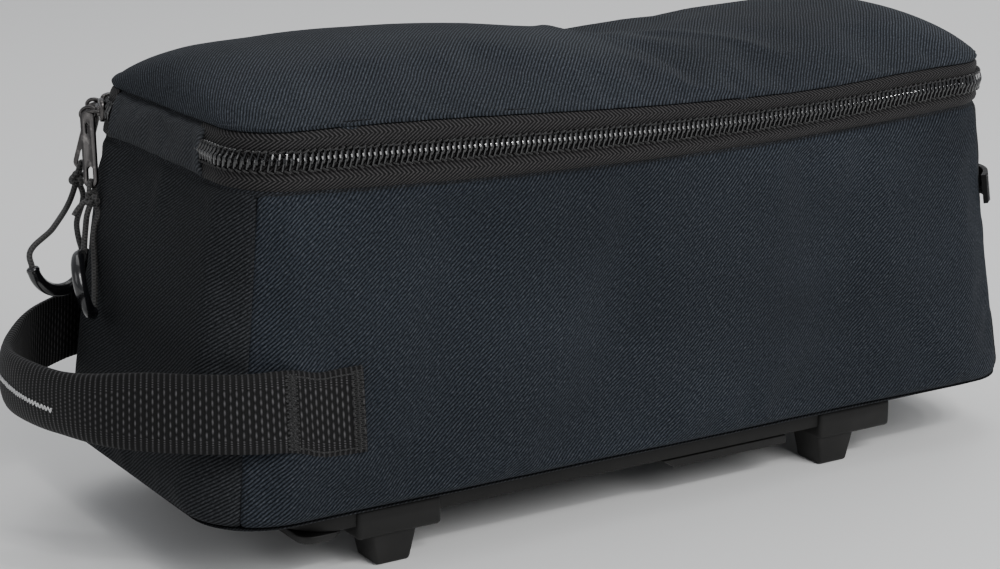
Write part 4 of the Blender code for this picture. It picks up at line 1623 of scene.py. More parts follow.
@dataclass
class ZipBand:
    """Zip round three sides with its coil, and the fabric hinge band."""

    start: float = 6.86
    end: float = 6.02
    coil_place: float = COIL_PLACE
    coil_width: float = 0.0075
    tape_wall: float = 0.0011
    pitch: float = 0.00212
    wire: float = 0.00095
    cell: float = 0.0022
    settling: ClothSettling = field(
        default_factory=lambda: ClothSettling(pressure=0.3, slack=0.014, most=0.0014)
    )

    def strip(
        self, name: str, start: float, end: float, rows: int, shape: StripShape
    ) -> Piece:
        """Strip of the band along the seam.

        Args:
            name: Name of the piece.
            start: First turn.
            end: Last turn.
            rows: Faces up its height.
            shape: For a length along, the whole length and a share of the height, the share of
                the band's height and how far it stands out.

        Returns:
            The open surface.
        """
        length = BAG.wall_length(start, end, 1.0)
        columns = round(length / self.cell)
        turns = BAG.spaced_turns(start, end, 1.0, columns)
        heights = [BAG.band_height(BAG.seam_share(turn)) for turn in turns]
        tall = max(heights)

        def place(u: float, v: float) -> Vector:
            """Point of the strip.

            Args:
                u: Place along, from 0 to 1.
                v: Place across, from 0 to 1.

            Returns:
                The point.
            """
            k = round(u * columns)
            share, out = shape(u * length, length, v, heights[k])
            return BAG.band_at(turns[k], share, out)

        low = shape(length / 2, length, 0.0, tall)[0]
        high = shape(length / 2, length, 1.0, tall)[0]
        return shaped_grid(name, (length, (high - low) * tall), (columns, rows), place)

    def coil_edge(self, height: float, side: float) -> float:
        """Share of the band's height at one edge of the coil, side -1 or 1."""
        return self.coil_place + side * self.coil_width / 2 / height

    def build(self) -> list[Piece]:
        """Makes the tapes, the coil bed, the coil and its stitches, the hinge band and the seam bindings.

        Returns:
            The finished pieces.
        """
        first, last = self.start - 8, self.end
        made = []
        spread = 0.0006

        def lower(run: float, length: float, v: float, height: float) -> Pair:
            """Lower tape, rolled in at its seam.

            Args:
                run: Length along the line.
                length: The whole length.
                v: Place across, from 0 to 1.
                height: The band's height there.

            Returns:
                Share of the band's height, and how far it stands out.
            """
            high = self.coil_edge(height, -1) + spread / height
            rise = v * high * height
            bulge = 0.0004 * math.sin(math.pi * v) + 0.0003 * noise.noise(Vector((run * 30, v * 3, 1)))
            return lerp(GAP / height, high, v), seam_roll(rise, 0.0016, 0.0009) + bulge - 0.0002

        def upper(run: float, length: float, v: float, height: float) -> Pair:
            """Upper tape, rolled in at its seam.

            Args:
                run: Length along the line.
                length: The whole length.
                v: Place across, from 0 to 1.
                height: The band's height there.

            Returns:
                Share of the band's height, and how far it stands out.
            """
            low = self.coil_edge(height, 1) - spread / height
            rise = (1 - v) * (1 - low) * height
            bulge = 0.0003 * math.sin(math.pi * v) + 0.0003 * noise.noise(Vector((run * 30, v * 3, 7)))
            return lerp(low, 1.0, v), seam_roll(rise, 0.0014, 0.0006) + bulge - 0.0002

        for name, node, shape in (
            ("zip_tape_low", "zip_tape_lower", lower),
            ("zip_tape_high", "zip_tape_upper", upper),
        ):
            piece = thickened(self.strip(name, first, last, 5, shape), self.tape_wall)
            TAPE.dress(smooth_shaded(piece, 60))
            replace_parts(piece, node)
            made.append(piece)

        def bed(run: float, length: float, v: float, height: float) -> Pair:
            """Tape under the coil."""
            return lerp(self.coil_edge(height, -1), self.coil_edge(height, 1), v), -0.0003

        piece = thickened(self.strip("zip_coil_bed", first, last, 2, bed), self.tape_wall)
        TAPE.dress(smooth_shaded(piece, 60))
        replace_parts(piece, "zip_coil")
        made.append(piece)
        made.append(self.coil(first, last))
        made.append(self.hinge())
        made.append(self.coil_seams(first, last))
        made += [self.binding("lid_seam_binding", 0.88, 1.1), self.binding("body_seam_binding", -0.1, 0.12)]
        ride_all(made)
        return made

    def binding(self, name: str, low: float, high: float) -> Piece:
        """Binding tape inside a seam, which closes what shows between its two cloths.

        Args:
            name: Name of the piece.
            low: Its lower edge as a share of the band's height.
            high: Its upper edge.

        Returns:
            The finished piece.
        """

        def shape(run: float, length: float, v: float, height: float) -> Pair:
            """Flat binding behind the seam."""
            return lerp(low, high, v), -0.0013

        piece = thickened(self.strip(name, 0.0, 7.998, 2, shape), 0.0008)
        return BASE_CLOTH.dress(smooth_shaded(piece, 60))

    def frame_at(self, turn: float, share: float, out: float) -> Matrix:
        """Place on the band with x along the zip, y up it and z outward.

        Args:
            turn: Turn round the outline.
            share: Share of the band's height.
            out: How far it stands out.

        Returns:
            The place.
        """
        here = BAG.band_at(turn, share, out)
        ahead = (BAG.band_at(turn + 0.01, share, out) - BAG.band_at(turn - 0.01, share, out)).normalized()
        above = BAG.band_at(turn, min(share + 0.1, 1.0), out)
        up = (above - BAG.band_at(turn, share - 0.1, out)).normalized()
        outward = ahead.cross(up).normalized()
        return frame_of(ahead, outward.cross(ahead), outward, here)

    def tooth(self) -> Piece:
        """One loop of the coil: up from the tape, over the top and down at the middle.

        Returns:
            The loop.
        """
        half = self.coil_width / 2 - self.wire / 2
        line = [
            Vector((0.0004, half, 0.0002)),
            Vector((0.0003, half * 0.92, 0.0010)),
            Vector((0.0, half * 0.45, 0.0015)),
            Vector((-0.0003, -0.0002, 0.0019)),
            Vector((-0.0004, -0.0009, 0.0014)),
            Vector((-0.0003, -0.0009, 0.0005)),
        ]
        radius = self.wire / 2
        return ring_tube("coil_loop", smooth_line(line, 0.0011), lambda run, angle: radius, 6)

    def coil(self, first: float, last: float) -> Piece:
        """Coil of the zip: a row of loops from each side that mesh in the middle.

        Args:
            first: First turn.
            last: Last turn.

        Returns:
            The finished coil.
        """
        length = BAG.wall_length(first, last, 1.0)
        count = round(length / self.pitch)
        turns = BAG.spaced_turns(first + 0.012, last - 0.012, 1.0, 2 * count)
        places = []
        for k, turn in enumerate(turns):
            here = self.frame_at(turn, self.coil_place, -0.0002)
            if k % 2:
                here = here @ Matrix.Rotation(math.pi, 4, "Z")
            places.append(here)
        return COIL.dress(repeated("zip_coil_loops", self.tooth(), places))

    def coil_seams(self, first: float, last: float) -> Piece:
        """Two rows of short stitches that hold the coil on its tapes.

        Args:
            first: First turn.
            last: Last turn.

        Returns:
            The finished stitches.
        """
        length = BAG.wall_length(first, last, 1.0)
        count = round(length / 0.0026)
        turns = BAG.spaced_turns(first + 0.01, last - 0.01, 1.0, count)
        places = []
        for turn in turns:
            height = BAG.band_height(BAG.seam_share(turn))
            for side in (-1, 1):
                share = self.coil_edge(height, side * 0.84)
                places.append(self.frame_at(turn, share, 0.0010) @ Matrix.Rotation(side * 0.35, 4, "Z"))
        model = stitch_model(0.0021, 0.00062)
        return COIL_STITCH.dress(repeated("zip_coil_stitches", model, places))

    def hinge(self) -> Piece:
        """Fabric band at the handle end, puffed between its two seams, its corner standing out.

        Returns:
            The finished piece.
        """
        overlap = 0.004

        def shape(run: float, length: float, v: float, height: float) -> Pair:
            """Puffed band, rolled in at its seams.

            Args:
                run: Length along the line.
                length: The whole length.
                v: Place across, from 0 to 1.
                height: The band's height there.

            Returns:
                Share of the band's height, and how far it stands out.
            """
            rise = v * height
            low = seam_roll(rise, 0.0036, 0.0022)
            high = seam_roll(height - rise, 0.0042, 0.0026)
            puff = 0.0012 * math.sin(math.pi * v) ** 0.7
            edge = 0.0009 * (1 - smooth((length - run) / 0.008)) + 0.0005 * (1 - smooth(run / 0.008))
            wave = 0.0006 * noise.noise(Vector((run * 30, v * 2, 4)))
            pucker = 0.0003 * noise.noise(Vector((run * 170, v * 3, 8))) * abs(2 * v - 1)
            closed = smooth(min(length - run, run) / 0.004)
            roll = (low + high) * lerp(0.45, 1.0, closed)
            return v, roll + puff + edge + wave + pucker

        start = self.end - 0.002
        piece = self.strip("hinge_cloth", start, self.start + overlap / 0.05 * 0.5, 12, shape)
        self.settling.add(piece)
        self.settling.run()
        refined(thickened(piece, 0.0022))
        LIT_HINGE_TWILL.dress(smooth_shaded(piece, 60))
        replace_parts(piece, "hinge_band")
        return piece


def stitch_model(length: float, thickness: float) -> Piece:
    """One stitch: a short bowed thread lying along x, its ends dipping into the cloth.

    Args:
        length: Its length.
        thickness: Its thickness.

    Returns:
        The stitch.
    """
    line = []
    for k in range(6):
        t = k / 5 * 2 - 1
        line.append(Vector((t * length / 2, 0, thickness * (0.45 - 0.9 * t * t))))
    return ring_tube("stitch", line, lambda run, angle: thickness / 2, 6)


@dataclass
class CarryHandle:
    """Webbing handle: flat and box stitched where it is sewn on, folded to a soft grip between."""

    strap: Pair = (0.0294, 0.0020)
    grip: Pair = (0.0220, 0.0066)
    grip_start: float = 0.26
    grip_full: float = 0.42
    reach: float = 0.0357
    sewn_x: float = -0.1250
    patch: float = 0.0240
    height: float = 0.0365
    rise: float = 0.0040
    spacing: float = 0.0005
    rib: float = RIB_PITCH
    rib_depth: float = 0.00013
    squareness: Pair = (6.0, 2.2)
    bow: tuple = (
        (0.00, -1.000, 0.45),
        (0.26, -0.965, 0.65),
        (0.58, -0.790, 0.75),
        (0.84, -0.520, 0.75),
        (0.97, -0.240, 0.70),
        (1.00, 0.000, 0.60),
        (0.97, 0.260, 0.35),
        (0.82, 0.540, 0.10),
        (0.58, 0.790, 0.00),
        (0.26, 0.965, 0.10),
        (0.00, 1.000, 0.20),
    )
    bars: Pair = (0.0026, 0.0270)
    narrowing: float = 0.105
    seam: Pair = (0.110, 0.147)
    seam_rise: Pair = (-0.0024, 0.0014)

    def turn_at(self, x: float, height: float) -> float:
        """Turn of the shown side at that x, measured from the base's middle."""
        half = lerp(BAG.base[0], BAG.seam[0], height) / 2 - lerp(BAG.base[2], BAG.seam[2], height)
        return (x + half) / (2 * half)

    def line(self) -> list[Vector]:
        """Middle line from the sewn end on the shown side to the hidden one.

        Returns:
            The line.
        """
        centre = BAG.base_z + self.height
        height = BAG.height_share(centre)
        off = GAP + self.strap[1] / 2
        sewn = []
        for share in (0.0, 0.35, 0.7):
            point = BAG.wall(self.turn_at(self.sewn_x - self.patch * share, height), height, off)
            point.z = centre
            sewn.append(point)
        leave = BAG.wall(self.turn_at(self.sewn_x - self.patch, height), height, off)
        reach = BAG.frame_shift - BAG.base[0] / 2 - self.reach - leave.x
        bow = []
        for along, side, rise in self.bow:
            bow.append(Vector((leave.x + reach * along, -leave.y * side, centre + self.rise * rise)))
        hidden = [Vector((p.x, -p.y, p.z)) for p in sewn[::-1]]
        return smooth_line(sewn + bow + hidden, self.spacing)

    def grip_share(self, runs: Sequence[float], k: int) -> float:
        """How far the strap is folded at a point of its line, from flat at 0 to grip at 1."""
        from_end = min(runs[k], runs[-1] - runs[k]) / runs[-1]
        return smooth((from_end - self.grip_start) / (self.grip_full - self.grip_start))

    def section(self, share: float, ribbing: float) -> Point:
        """Half height, half thickness and squareness of the strap, from flat at 0 to grip at 1.

        Args:
            share: How far it is folded.
            ribbing: What the ribs add to its half thickness.

        Returns:
            The three values.
        """
        half_height = lerp(self.strap[0], self.grip[0], share) / 2
        half_wall = lerp(self.strap[1], self.grip[1], share) / 2
        return half_height, half_wall + ribbing, lerp(*self.squareness, share)

    def point(self, line: Line, k: int, runs: Sequence[float], angle: float, proud: float = 0.0) -> Vector:
        """Point of the strap's surface.

        Args:
            line: Its middle line.
            k: Which point of the line.
            runs: Lengths along the line.
            angle: Angle round the section, pi facing outward and pi / 2 up.
            proud: How far beyond the surface.

        Returns:
            The point.
        """
        ahead = line[min(k + 1, len(line) - 1)] - line[max(k - 1, 0)]
        inward = Vector((ahead.y, -ahead.x, 0)).normalized()
        share = self.grip_share(runs, k)
        ribbing = self.rib_depth * math.cos(2 * math.pi * runs[k] / self.rib) * (1 - 0.55 * share)
        ribbing += 0.0003 * share * noise.noise(Vector((runs[k] * 60, angle, 3)))
        half_height, half_wall, squareness = self.section(share, ribbing + proud)
        narrow = self.narrowing * smooth(min(runs[k], runs[-1] - runs[k]) / 0.05) * (1 - share) * half_height
        lean = (BAG.base[1] - BAG.seam[1]) / 2 / BAG.seam_height
        up = Vector((0, 0, 1)) + inward * lean * (1 - share)
        c, s = math.cos(angle), math.sin(angle)
        wide = math.copysign(abs(c) ** (2 / squareness), c)
        tall = math.copysign(abs(s) ** (2 / squareness), s)
        sway = 0.0008 * share * noise.noise(Vector((runs[k] * 25, 1, 2)))
        return line[k] + inward * (wide * half_wall + sway) + up * (tall * (half_height - narrow) + narrow)

    def build(self) -> None:
        """Makes the strap, its stitches and the bright seam of its grip."""
        line = self.line()
        runs = run_lengths(line)
        count = len(line) - 1

        def place(u: float, angle: float) -> Vector:
            """Point of the strap's surface."""
            return self.point(line, round(u * count), runs, angle)

        size = (runs[-1], 2 * (self.strap[0] + self.strap[1]))
        strap = STRAP.dress(wrapped_grid("handle_webbing", size, (count, 24), place))
        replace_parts(strap, "carry_handle")
        ride_all([strap, self.stitches(line, runs), self.bright_seam(line, runs)])

    def seat(self, line: Line, runs: Sequence[float], run: float, tall: float, proud: float) -> Matrix:
        """Place on the strap's outer face, x along it and z outward.

        Args:
            line: The middle line.
            runs: Lengths along it.
            run: Length along it from its start.
            tall: Height from the middle, as a share of the half height.
            proud: How far beyond the surface.

        Returns:
            The place.
        """
        k = min(range(len(runs)), key=lambda i: abs(runs[i] - run))
        k = min(max(k, 1), len(line) - 2)
        ahead = (line[k + 1] - line[k - 1]).normalized()
        share = self.grip_share(runs, k)
        squareness = lerp(*self.squareness, share)
        s = math.copysign(abs(tall) ** (squareness / 2), tall)
        angle = math.pi - math.asin(min(max(s, -1), 1))
        here = self.point(line, k, runs, angle, proud)
        near = self.point(line, k, runs, angle - 0.05, proud)
        up = (near - here).normalized()
        outward = ahead.cross(up).normalized()
        return frame_of(ahead, outward.cross(ahead), outward, here)

    def stitches(self, line: Line, runs: Sequence[float]) -> Piece:
        """Dense bars and edge rows of stitches at both sewn ends.

        Args:
            line: The strap's middle line.
            runs: Lengths along it.

        Returns:
            The finished stitches.
        """
        places = []
        for flip in (False, True):
            for bar in self.bars:
                for i in range(38):
                    tall = lerp(-0.9, 0.9, i / 37)
                    for step in (-0.0009, 0.0009):
                        run = bar + step + 0.0002 * math.sin(i * 2.4)
                        run = runs[-1] - run if flip else run
                        turn = Matrix.Rotation(0.22 * (-1) ** i, 4, "Z")
                        places.append(self.seat(line, runs, run, tall, 0.0001) @ turn)
            for tall in (-0.86, 0.86):
                for i in range(12):
                    run = lerp(*self.bars, (i + 0.5) / 12)
                    run = runs[-1] - run if flip else run
                    places.append(self.seat(line, runs, run, tall, 0.0001))
        return STITCH.dress(repeated("handle_stitches", stitch_model(0.0021, 0.0006), places))

    def bright_seam(self, line: Line, runs: Sequence[float]) -> Piece:
        """White zigzag that closes the folded grip.

        Args:
            line: The strap's middle line.
            runs: Lengths along it.

        Returns:
            The finished thread.
        """
        start, end = self.seam
        count = round((end - start) / 0.0008)
        points = []
        for i in range(count + 1):
            run = lerp(start, end, i / count)
            rise = lerp(*self.seam_rise, i / count) + 0.0009 * (-1) ** i
            place = self.seat(line, runs, run, rise / 0.0125, 0.0002)
            points.append(place.translation)
        radius = 0.00028
        fine = evenly(points, 0.0004)
        return BRIGHT_STITCH.dress(ring_tube("grip_seam", fine, lambda run, angle: radius, 6))


@dataclass
class LampStrap:
    """Webbing strap across the far end, sewn at its middle and ends, with two lamp loops."""

    width: float = 0.0115
    wall: float = 0.0018
    bulge: float = 0.0030
    height: float = 0.0760
    turns: Pair = (1.42, 3.58)

    def build(self) -> None:
        """Makes the strap and its stitches."""
        start, end = self.turns
        z = BAG.base_z + self.height
        share = BAG.height_share(z)
        length = BAG.wall_length(start, end, share)
        columns = round(length / 0.0006)
        turns = BAG.spaced_turns(start, end, share, columns)
        middle = (start + end) / 2

        def proud(turn: float) -> float:
            """How far the strap's face stands out."""
            return GAP + self.wall + self.bulge * math.sin(math.pi * (turn - middle) / (middle - start)) ** 2

        def place(u: float, v: float) -> Vector:
            """Point of the strap's face.

            Args:
                u: Place along, from 0 to 1.
                v: Place across, from 0 to 1.

            Returns:
                The point.
            """
            turn = turns[round(u * columns)]
            rib = 0.00012 * math.cos(2 * math.pi * u * length / RIB_PITCH)
            low = z + (v - 0.5) * self.width
            point = BAG.wall(turn, BAG.height_share(low), proud(turn) + rib)
            point.z = low
            return point

        strap = shaped_grid("lamp_strap_webbing", (length, self.width), (columns, 6), place)
        STRAP.dress(smooth_shaded(thickened(strap, self.wall), 60))
        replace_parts(strap, "lamp_strap")
        places = []
        for at in (0.03, 0.5, 0.97):
            for i in range(14):
                low = z + lerp(-0.42, 0.42, i / 13) * self.width
                for step in (-0.006, 0.006):
                    turn = lerp(start, end, at + step)
                    share = BAG.height_share(low)
                    here = BAG.wall(turn, share, proud(turn) + 0.0001)
                    here.z = low
                    ahead = (BAG.wall(turn + 0.01, share) - BAG.wall(turn - 0.01, share)).normalized()
                    places.append(frame_of(ahead, UP, ahead.cross(UP), here))
        stitches = STITCH.dress(repeated("lamp_strap_stitches", stitch_model(0.0019, 0.0006), places))
        ride_all([strap, stitches])


@dataclass
class RackAdapter:
    """Moulded rack adapter: plate, locking nose, two rails and four feet, all with broken edges."""

    depth: float = 0.0250
    base_wall: float = 0.0025
    plate: tuple[float, float, float, float, float] = (-0.1460, 0.1165, 0.1290, 0.0059, 0.0180)
    nose: tuple[float, float, float, float, float] = (-0.1445, -0.1270, 0.0130, 0.0060, 0.0030)
    rail: tuple[float, float, float, float, float] = (0.0050, 0.0640, 0.0080, 0.0125, 0.0060)
    blocks: tuple = ((-0.1240, -0.0908, -0.1090), (0.0790, 0.1145, 0.0885))
    block: tuple[float, float, float] = (0.0660, 0.0190, 0.0135)
    foot: Point = (0.0190, 0.0165, 0.0028)
    fields: tuple = ((-0.082, -0.012), (-0.004, 0.068))
    field_sides: Pair = (0.006, 0.040)
    field_depth: float = 0.0022

    def shifted(self, x: float) -> float:
        """x of the frame for an x measured from the base's middle."""
        return x + BAG.frame_shift

    def slab(self, name: str, along: Pair, across: Pair, height: Pair) -> Piece:
        """Block between two places along, across and up."""
        return block(name, *((self.shifted(x), y, z) for x, y, z in zip(along, across, height)))

    def build(self) -> None:
        """Makes every moulding."""
        made = [self.build_plate(), self.build_nose()]
        for side, sign in (("right", -1), ("left", 1)):
            made.append(self.build_rail(side, sign))
            for end, (start, stop, foot_x) in zip(("near", "far"), self.blocks):
                made.append(self.build_foot(end, side, sign, start, stop, foot_x))
        for piece in made:
            PLASTIC.dress(smooth_shaded(piece, 35))
        ride_all(made)

    def build_plate(self) -> Piece:
        """Plate with broken edges and four shallow sunk fields on its underside.

        Returns:
            The plate.
        """
        near, far, width, thickness, corner = self.plate
        outline = [BAG.ring(k / 8, far - near, width, corner) for k in range(64)]
        top = self.depth - self.base_wall - GAP
        middle = Vector((self.shifted((near + far) / 2), 0, top - thickness / 2))
        piece = placed(flat_plate("adapter_base", outline, thickness), Matrix.Translation(middle))
        low = top - thickness
        for along in self.fields:
            for side in (-1, 1):
                across = tuple(sorted(side * edge for edge in self.field_sides))
                cut(piece, self.slab("field", along, across, (low - 0.001, low + self.field_depth)))
        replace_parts(bevelled(piece, 0.0007, 2), "adapter_plate")
        return piece

    def build_nose(self) -> Piece:
        """Nose that the rack's latch takes, tapered downward.

        Returns:
            The nose.
        """
        start, stop, depth, corner, taper = self.nose
        top = self.depth - self.base_wall - self.plate[3] - 2 * GAP
        low = self.depth - depth
        outline = [BAG.ring(k / 8, stop - start, self.plate[2], corner) for k in range(64)]
        piece = flat_plate("adapter_nose_bar", outline, top - low)
        for vertex in piece.data.vertices:
            if vertex.co.z < 0:
                vertex.co.x *= 1 - taper / (stop - start)
                vertex.co.y *= 1 - 2 * taper / self.plate[2]
        placed(piece, Matrix.Translation((self.shifted((start + stop) / 2), 0, (top + low) / 2)))
        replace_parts(bevelled(piece, 0.0009, 3), "adapter_nose")
        return piece

    def build_rail(self, side: str, sign: int) -> Piece:
        """Rail under one edge of the plate, with a sloped end.

        Args:
            side: Which side.
            sign: -1 for the shown side, 1 for the hidden one.

        Returns:
            The rail.
        """
        start, stop, width, depth, slope = self.rail
        across = tuple(sorted((sign * (self.plate[2] / 2 - width), sign * self.plate[2] / 2)))
        top = self.depth - self.base_wall - self.plate[3] - 2 * GAP
        low = self.depth - depth
        piece = self.slab(f"adapter_side_rail_{side}", (start, stop), across, (low, top))
        for vertex in piece.data.vertices:
            if vertex.co.z < (top + low) / 2 and vertex.co.x < self.shifted((start + stop) / 2):
                vertex.co.x += slope
        bevelled(piece, 0.0008, 2)
        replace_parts(piece, f"adapter_rail_{side}")
        return piece

    def build_foot(self, end: str, side: str, sign: int, start: float, stop: float, foot_x: float) -> Piece:
        """Block beside the plate with a tapered foot below it.

        Args:
            end: Which end of the plate.
            side: Which side.
            sign: -1 for the shown side, 1 for the hidden one.
            start: Where the block starts along the length.
            stop: Where it stops.
            foot_x: Middle of the foot.

        Returns:
            The foot as one moulding.
        """
        outer_y, width, depth = self.block
        length, foot_width, taper = self.foot
        across = tuple(sorted((sign * (outer_y - width), sign * outer_y)))
        top = self.depth - self.base_wall - GAP
        low = self.depth - depth
        piece = self.slab(f"adapter_{end}_foot_{side}", (start, stop), across, (low, top))
        bevelled(piece, 0.0016, 3)
        foot_y = sign * (outer_y - width / 2)
        x = self.shifted(foot_x)
        corner_low = (x - length / 2, foot_y - foot_width / 2, 0.0)
        corner_high = (x + length / 2, foot_y + foot_width / 2, low + 0.003)
        leg = block("leg", corner_low, corner_high)
        for vertex in leg.data.vertices:
            if vertex.co.z < 0.001:
                vertex.co.x = x + (vertex.co.x - x) * (1 - 2 * taper / length)
                vertex.co.y = foot_y + (vertex.co.y - foot_y) * (1 - taper / foot_width)
        bevelled(leg, 0.0012, 3)
        cut(piece, leg, "UNION")
        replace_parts(piece, f"adapter_foot_{end}_{side}")
        return piece


@dataclass(frozen=True)
class PullerPlace:
    """How one zip puller hangs, as in the CAD part."""

    label: str
    turn: float
    tab_drop: Point
    tab_way: Point
    grip_drop: Point
    grip_chord: Point
    grip_bulge: Point
    cord_spread: Point
    first_guides: tuple
    second_guides: tuple
    has_tail: bool = False


PULLERS = (
    PullerPlace(
        "a",
        5.80,
        (-0.0031, -0.0088, -0.0264),
        (0.60, -0.80, 0.0),
        (-0.0074, -0.0096, -0.0323),
        (-0.009, 0.369, 0.929),
        (-0.52, -0.80, 0.28),
        (-1.0, 0.10, 0.0),
        ((-0.0029, 0.0005, -0.0155),),
        ((-0.0001, -0.0014, -0.0135), (-0.0017, -0.0038, -0.0275), (-0.0037, -0.0075, -0.0380)),
        has_tail=True,
    ),
    PullerPlace(
        "b",
        5.46,
        (-0.0061, 0.0026, -0.0243),
        (0.80, -0.60, 0.0),
        (-0.0148, -0.0120, -0.0290),
        (-0.978, -0.110, -0.178),
        (0.192, -0.138, -0.972),
        (-0.95, -0.10, 0.0),
        ((-0.0146, -0.0090, -0.0185),),
        ((-0.0048, -0.0070, -0.0195),),
    ),
)


@dataclass
class Puller:
    """Slider with its bail, metal tab, knotted cord and the moulded half ring on the cord."""

    place: PullerPlace
    slider: Point = (0.0096, 0.0086, 0.0028)
    bail: tuple[float, float, float] = (0.0064, 0.0037, 0.0012)
    eye: Pair = (0.0020, 0.0012)
    tab: Pair = (0.0056, 0.0015)
    slot: Pair = (0.0060, 0.0022)
    knot: float = 0.0034
    cord: float = 0.0022
    grip: tuple[float, float, float] = (0.0048, 0.0102, 0.0015)
    strand_turn: float = math.radians(21)
    bore: float = 0.0014

    def build(self) -> None:
        """Makes the puller's pieces."""
        label = self.place.label
        low, down = self.build_tab(self.build_slider())
        knot_place = low + down * (self.knot + GAP)
        knot = self.build_knot(low, down, knot_place)
        grip, mouths, arc = self.build_grip(low)
        cord = self.build_cord(knot_place, low, mouths, arc)
        ride_all([knot, grip, cord])
        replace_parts(knot, f"cord_knot_{label}")
        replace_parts(grip, f"puller_grip_{label}")
        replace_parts(cord, f"puller_cord_{label}1", f"puller_cord_{label}2")

    def tab_axes(self, down: Vector) -> tuple[Vector, Vector]:
        """Directions across the tab and out of its face.

        Args:
            down: Direction down the tab.

        Returns:
            The two directions.
        """
        wide = Vector(self.place.tab_way)
        wide = (wide - down * wide.dot(down)).normalized()
        return wide, wide.cross(down)

    def grip_axes(self) -> tuple[Vector, Vector]:
        """Directions from mouth to mouth of the half ring and away from its mouths.

        Returns:
            The two directions.
        """
        chord = Vector(self.place.grip_chord).normalized()
        bulge = Vector(self.place.grip_bulge)
        return chord, (bulge - chord * bulge.dot(chord)).normalized()

    def build_slider(self) -> Vector:
        """Slider body with its shaped crown, and the bail on it.

        Returns:
            The bail's middle.
        """
        turn = self.place.turn
        point, before, after = (BAG.band_at(turn + step, COIL_PLACE, COIL_PROUD) for step in (0, -0.02, 0.02))
        along = after - before
        along.z = 0
        along.normalize()
        out = Vector((along.y, -along.x, 0))
        start = point + out * GAP
        length, height, thickness = self.slider
        frame_here = frame_of(along, UP, out, start)
        half = length / 2
        outline = []
        for k in range(40):
            angle = 2 * math.pi * k / 40
            c, s = math.cos(angle), math.sin(angle)
            wide = math.copysign(abs(s) ** 0.55, s) * height / 2
            outline.append((math.copysign(abs(c) ** 0.6, c) * half, wide * lerp(0.86, 1.0, (c + 1) / 2)))
        body = flat_plate(f"slider_body_{self.place.label}", outline, thickness * 0.62)
        placed(body, Matrix.Translation((0, 0, thickness * 0.31)))
        crown = block("crown", (-half * 0.72, -height * 0.21, 0), (half * 0.72, height * 0.21, thickness))
        bevelled(crown, 0.0006, 3)
        bevelled(body, 0.0005, 3)
        cut(body, crown, "UNION")
        spread, rise, wire = self.bail
        arch = []
        for k in range(25):
            angle = math.pi * k / 24
            tall = thickness - wire / 2 + rise * math.sin(angle)
            arch.append(Vector((spread / 2 * math.cos(angle), 0, tall)))
        arch = [arch[0] - Vector((0, 0, 0.001)), *arch, arch[-1] - Vector((0, 0, 0.001))]
        bail = ring_tube(f"bail_{self.place.label}", evenly(arch, 0.0004), lambda run, angle: wire / 2, 10)
        for piece in (body, bail):
            placed(piece, frame_here)
            METAL.dress(smooth_shaded(piece, 40))
            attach(piece, "root")
        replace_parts(body, f"slider_{self.place.label}")
        return start + out * (thickness - wire / 2 + rise)

    def build_tab(self, bail: Vector) -> tuple[Vector, Vector]:
        """Metal tab under an oval eye, with rounded edges, a small slot and a slot for the cord.

        Args:
            bail: Middle of the bail.

        Returns:
            The tab's foot and the direction down it.
        """
        radius, wire = self.eye
        eye = bail - Vector((0, 0, radius - wire / 2 - self.bail[2] / 2 - GAP))
        low = bail + Vector(self.place.tab_drop)
        top = eye + (low - eye).normalized() * (radius - wire / 2)
        down = (low - top).normalized()
        wide, face = self.tab_axes(down)
        width, thickness = self.tab
        half = width / 2
        length = (low - top).length + radius
        top = low - down * length
        slot_length, slot_width = self.slot
        frame_here = frame_of(wide, down, face, top)
        plate = flat_plate(f"tab_{self.place.label}", stadium(half, half, length - half, 10), thickness)
        slot_low = length - half
        hole = stadium(slot_width / 2, slot_low - slot_length + slot_width, slot_low, 8)
        cut(plate, flat_plate("hole", hole, 4 * thickness))
        small = stadium(slot_width * 0.30, half + 0.0026, half + 0.0052, 8)
        cut(plate, flat_plate("hole", small, 4 * thickness))
        bevelled(plate, 0.00032, 2, 50)
        placed(plate, frame_here)
        oval = []
        for k in range(33):
            angle = 2 * math.pi * k / 32
            spot = wide * math.cos(angle) * (half + 0.0002) - down * (math.sin(angle) * radius * 1.1)
            oval.append(eye + spot + down * 0.0006 + face * 0.0005)
        eye_piece = ring_tube(f"tab_eye_{self.place.label}", oval, lambda run, angle: wire * 0.62, 10)
        for piece in (plate, eye_piece):
            METAL.dress(smooth_shaded(piece, 35))
            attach(piece, "root")
        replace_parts(plate, f"pull_tab_{self.place.label}")
        return low, down

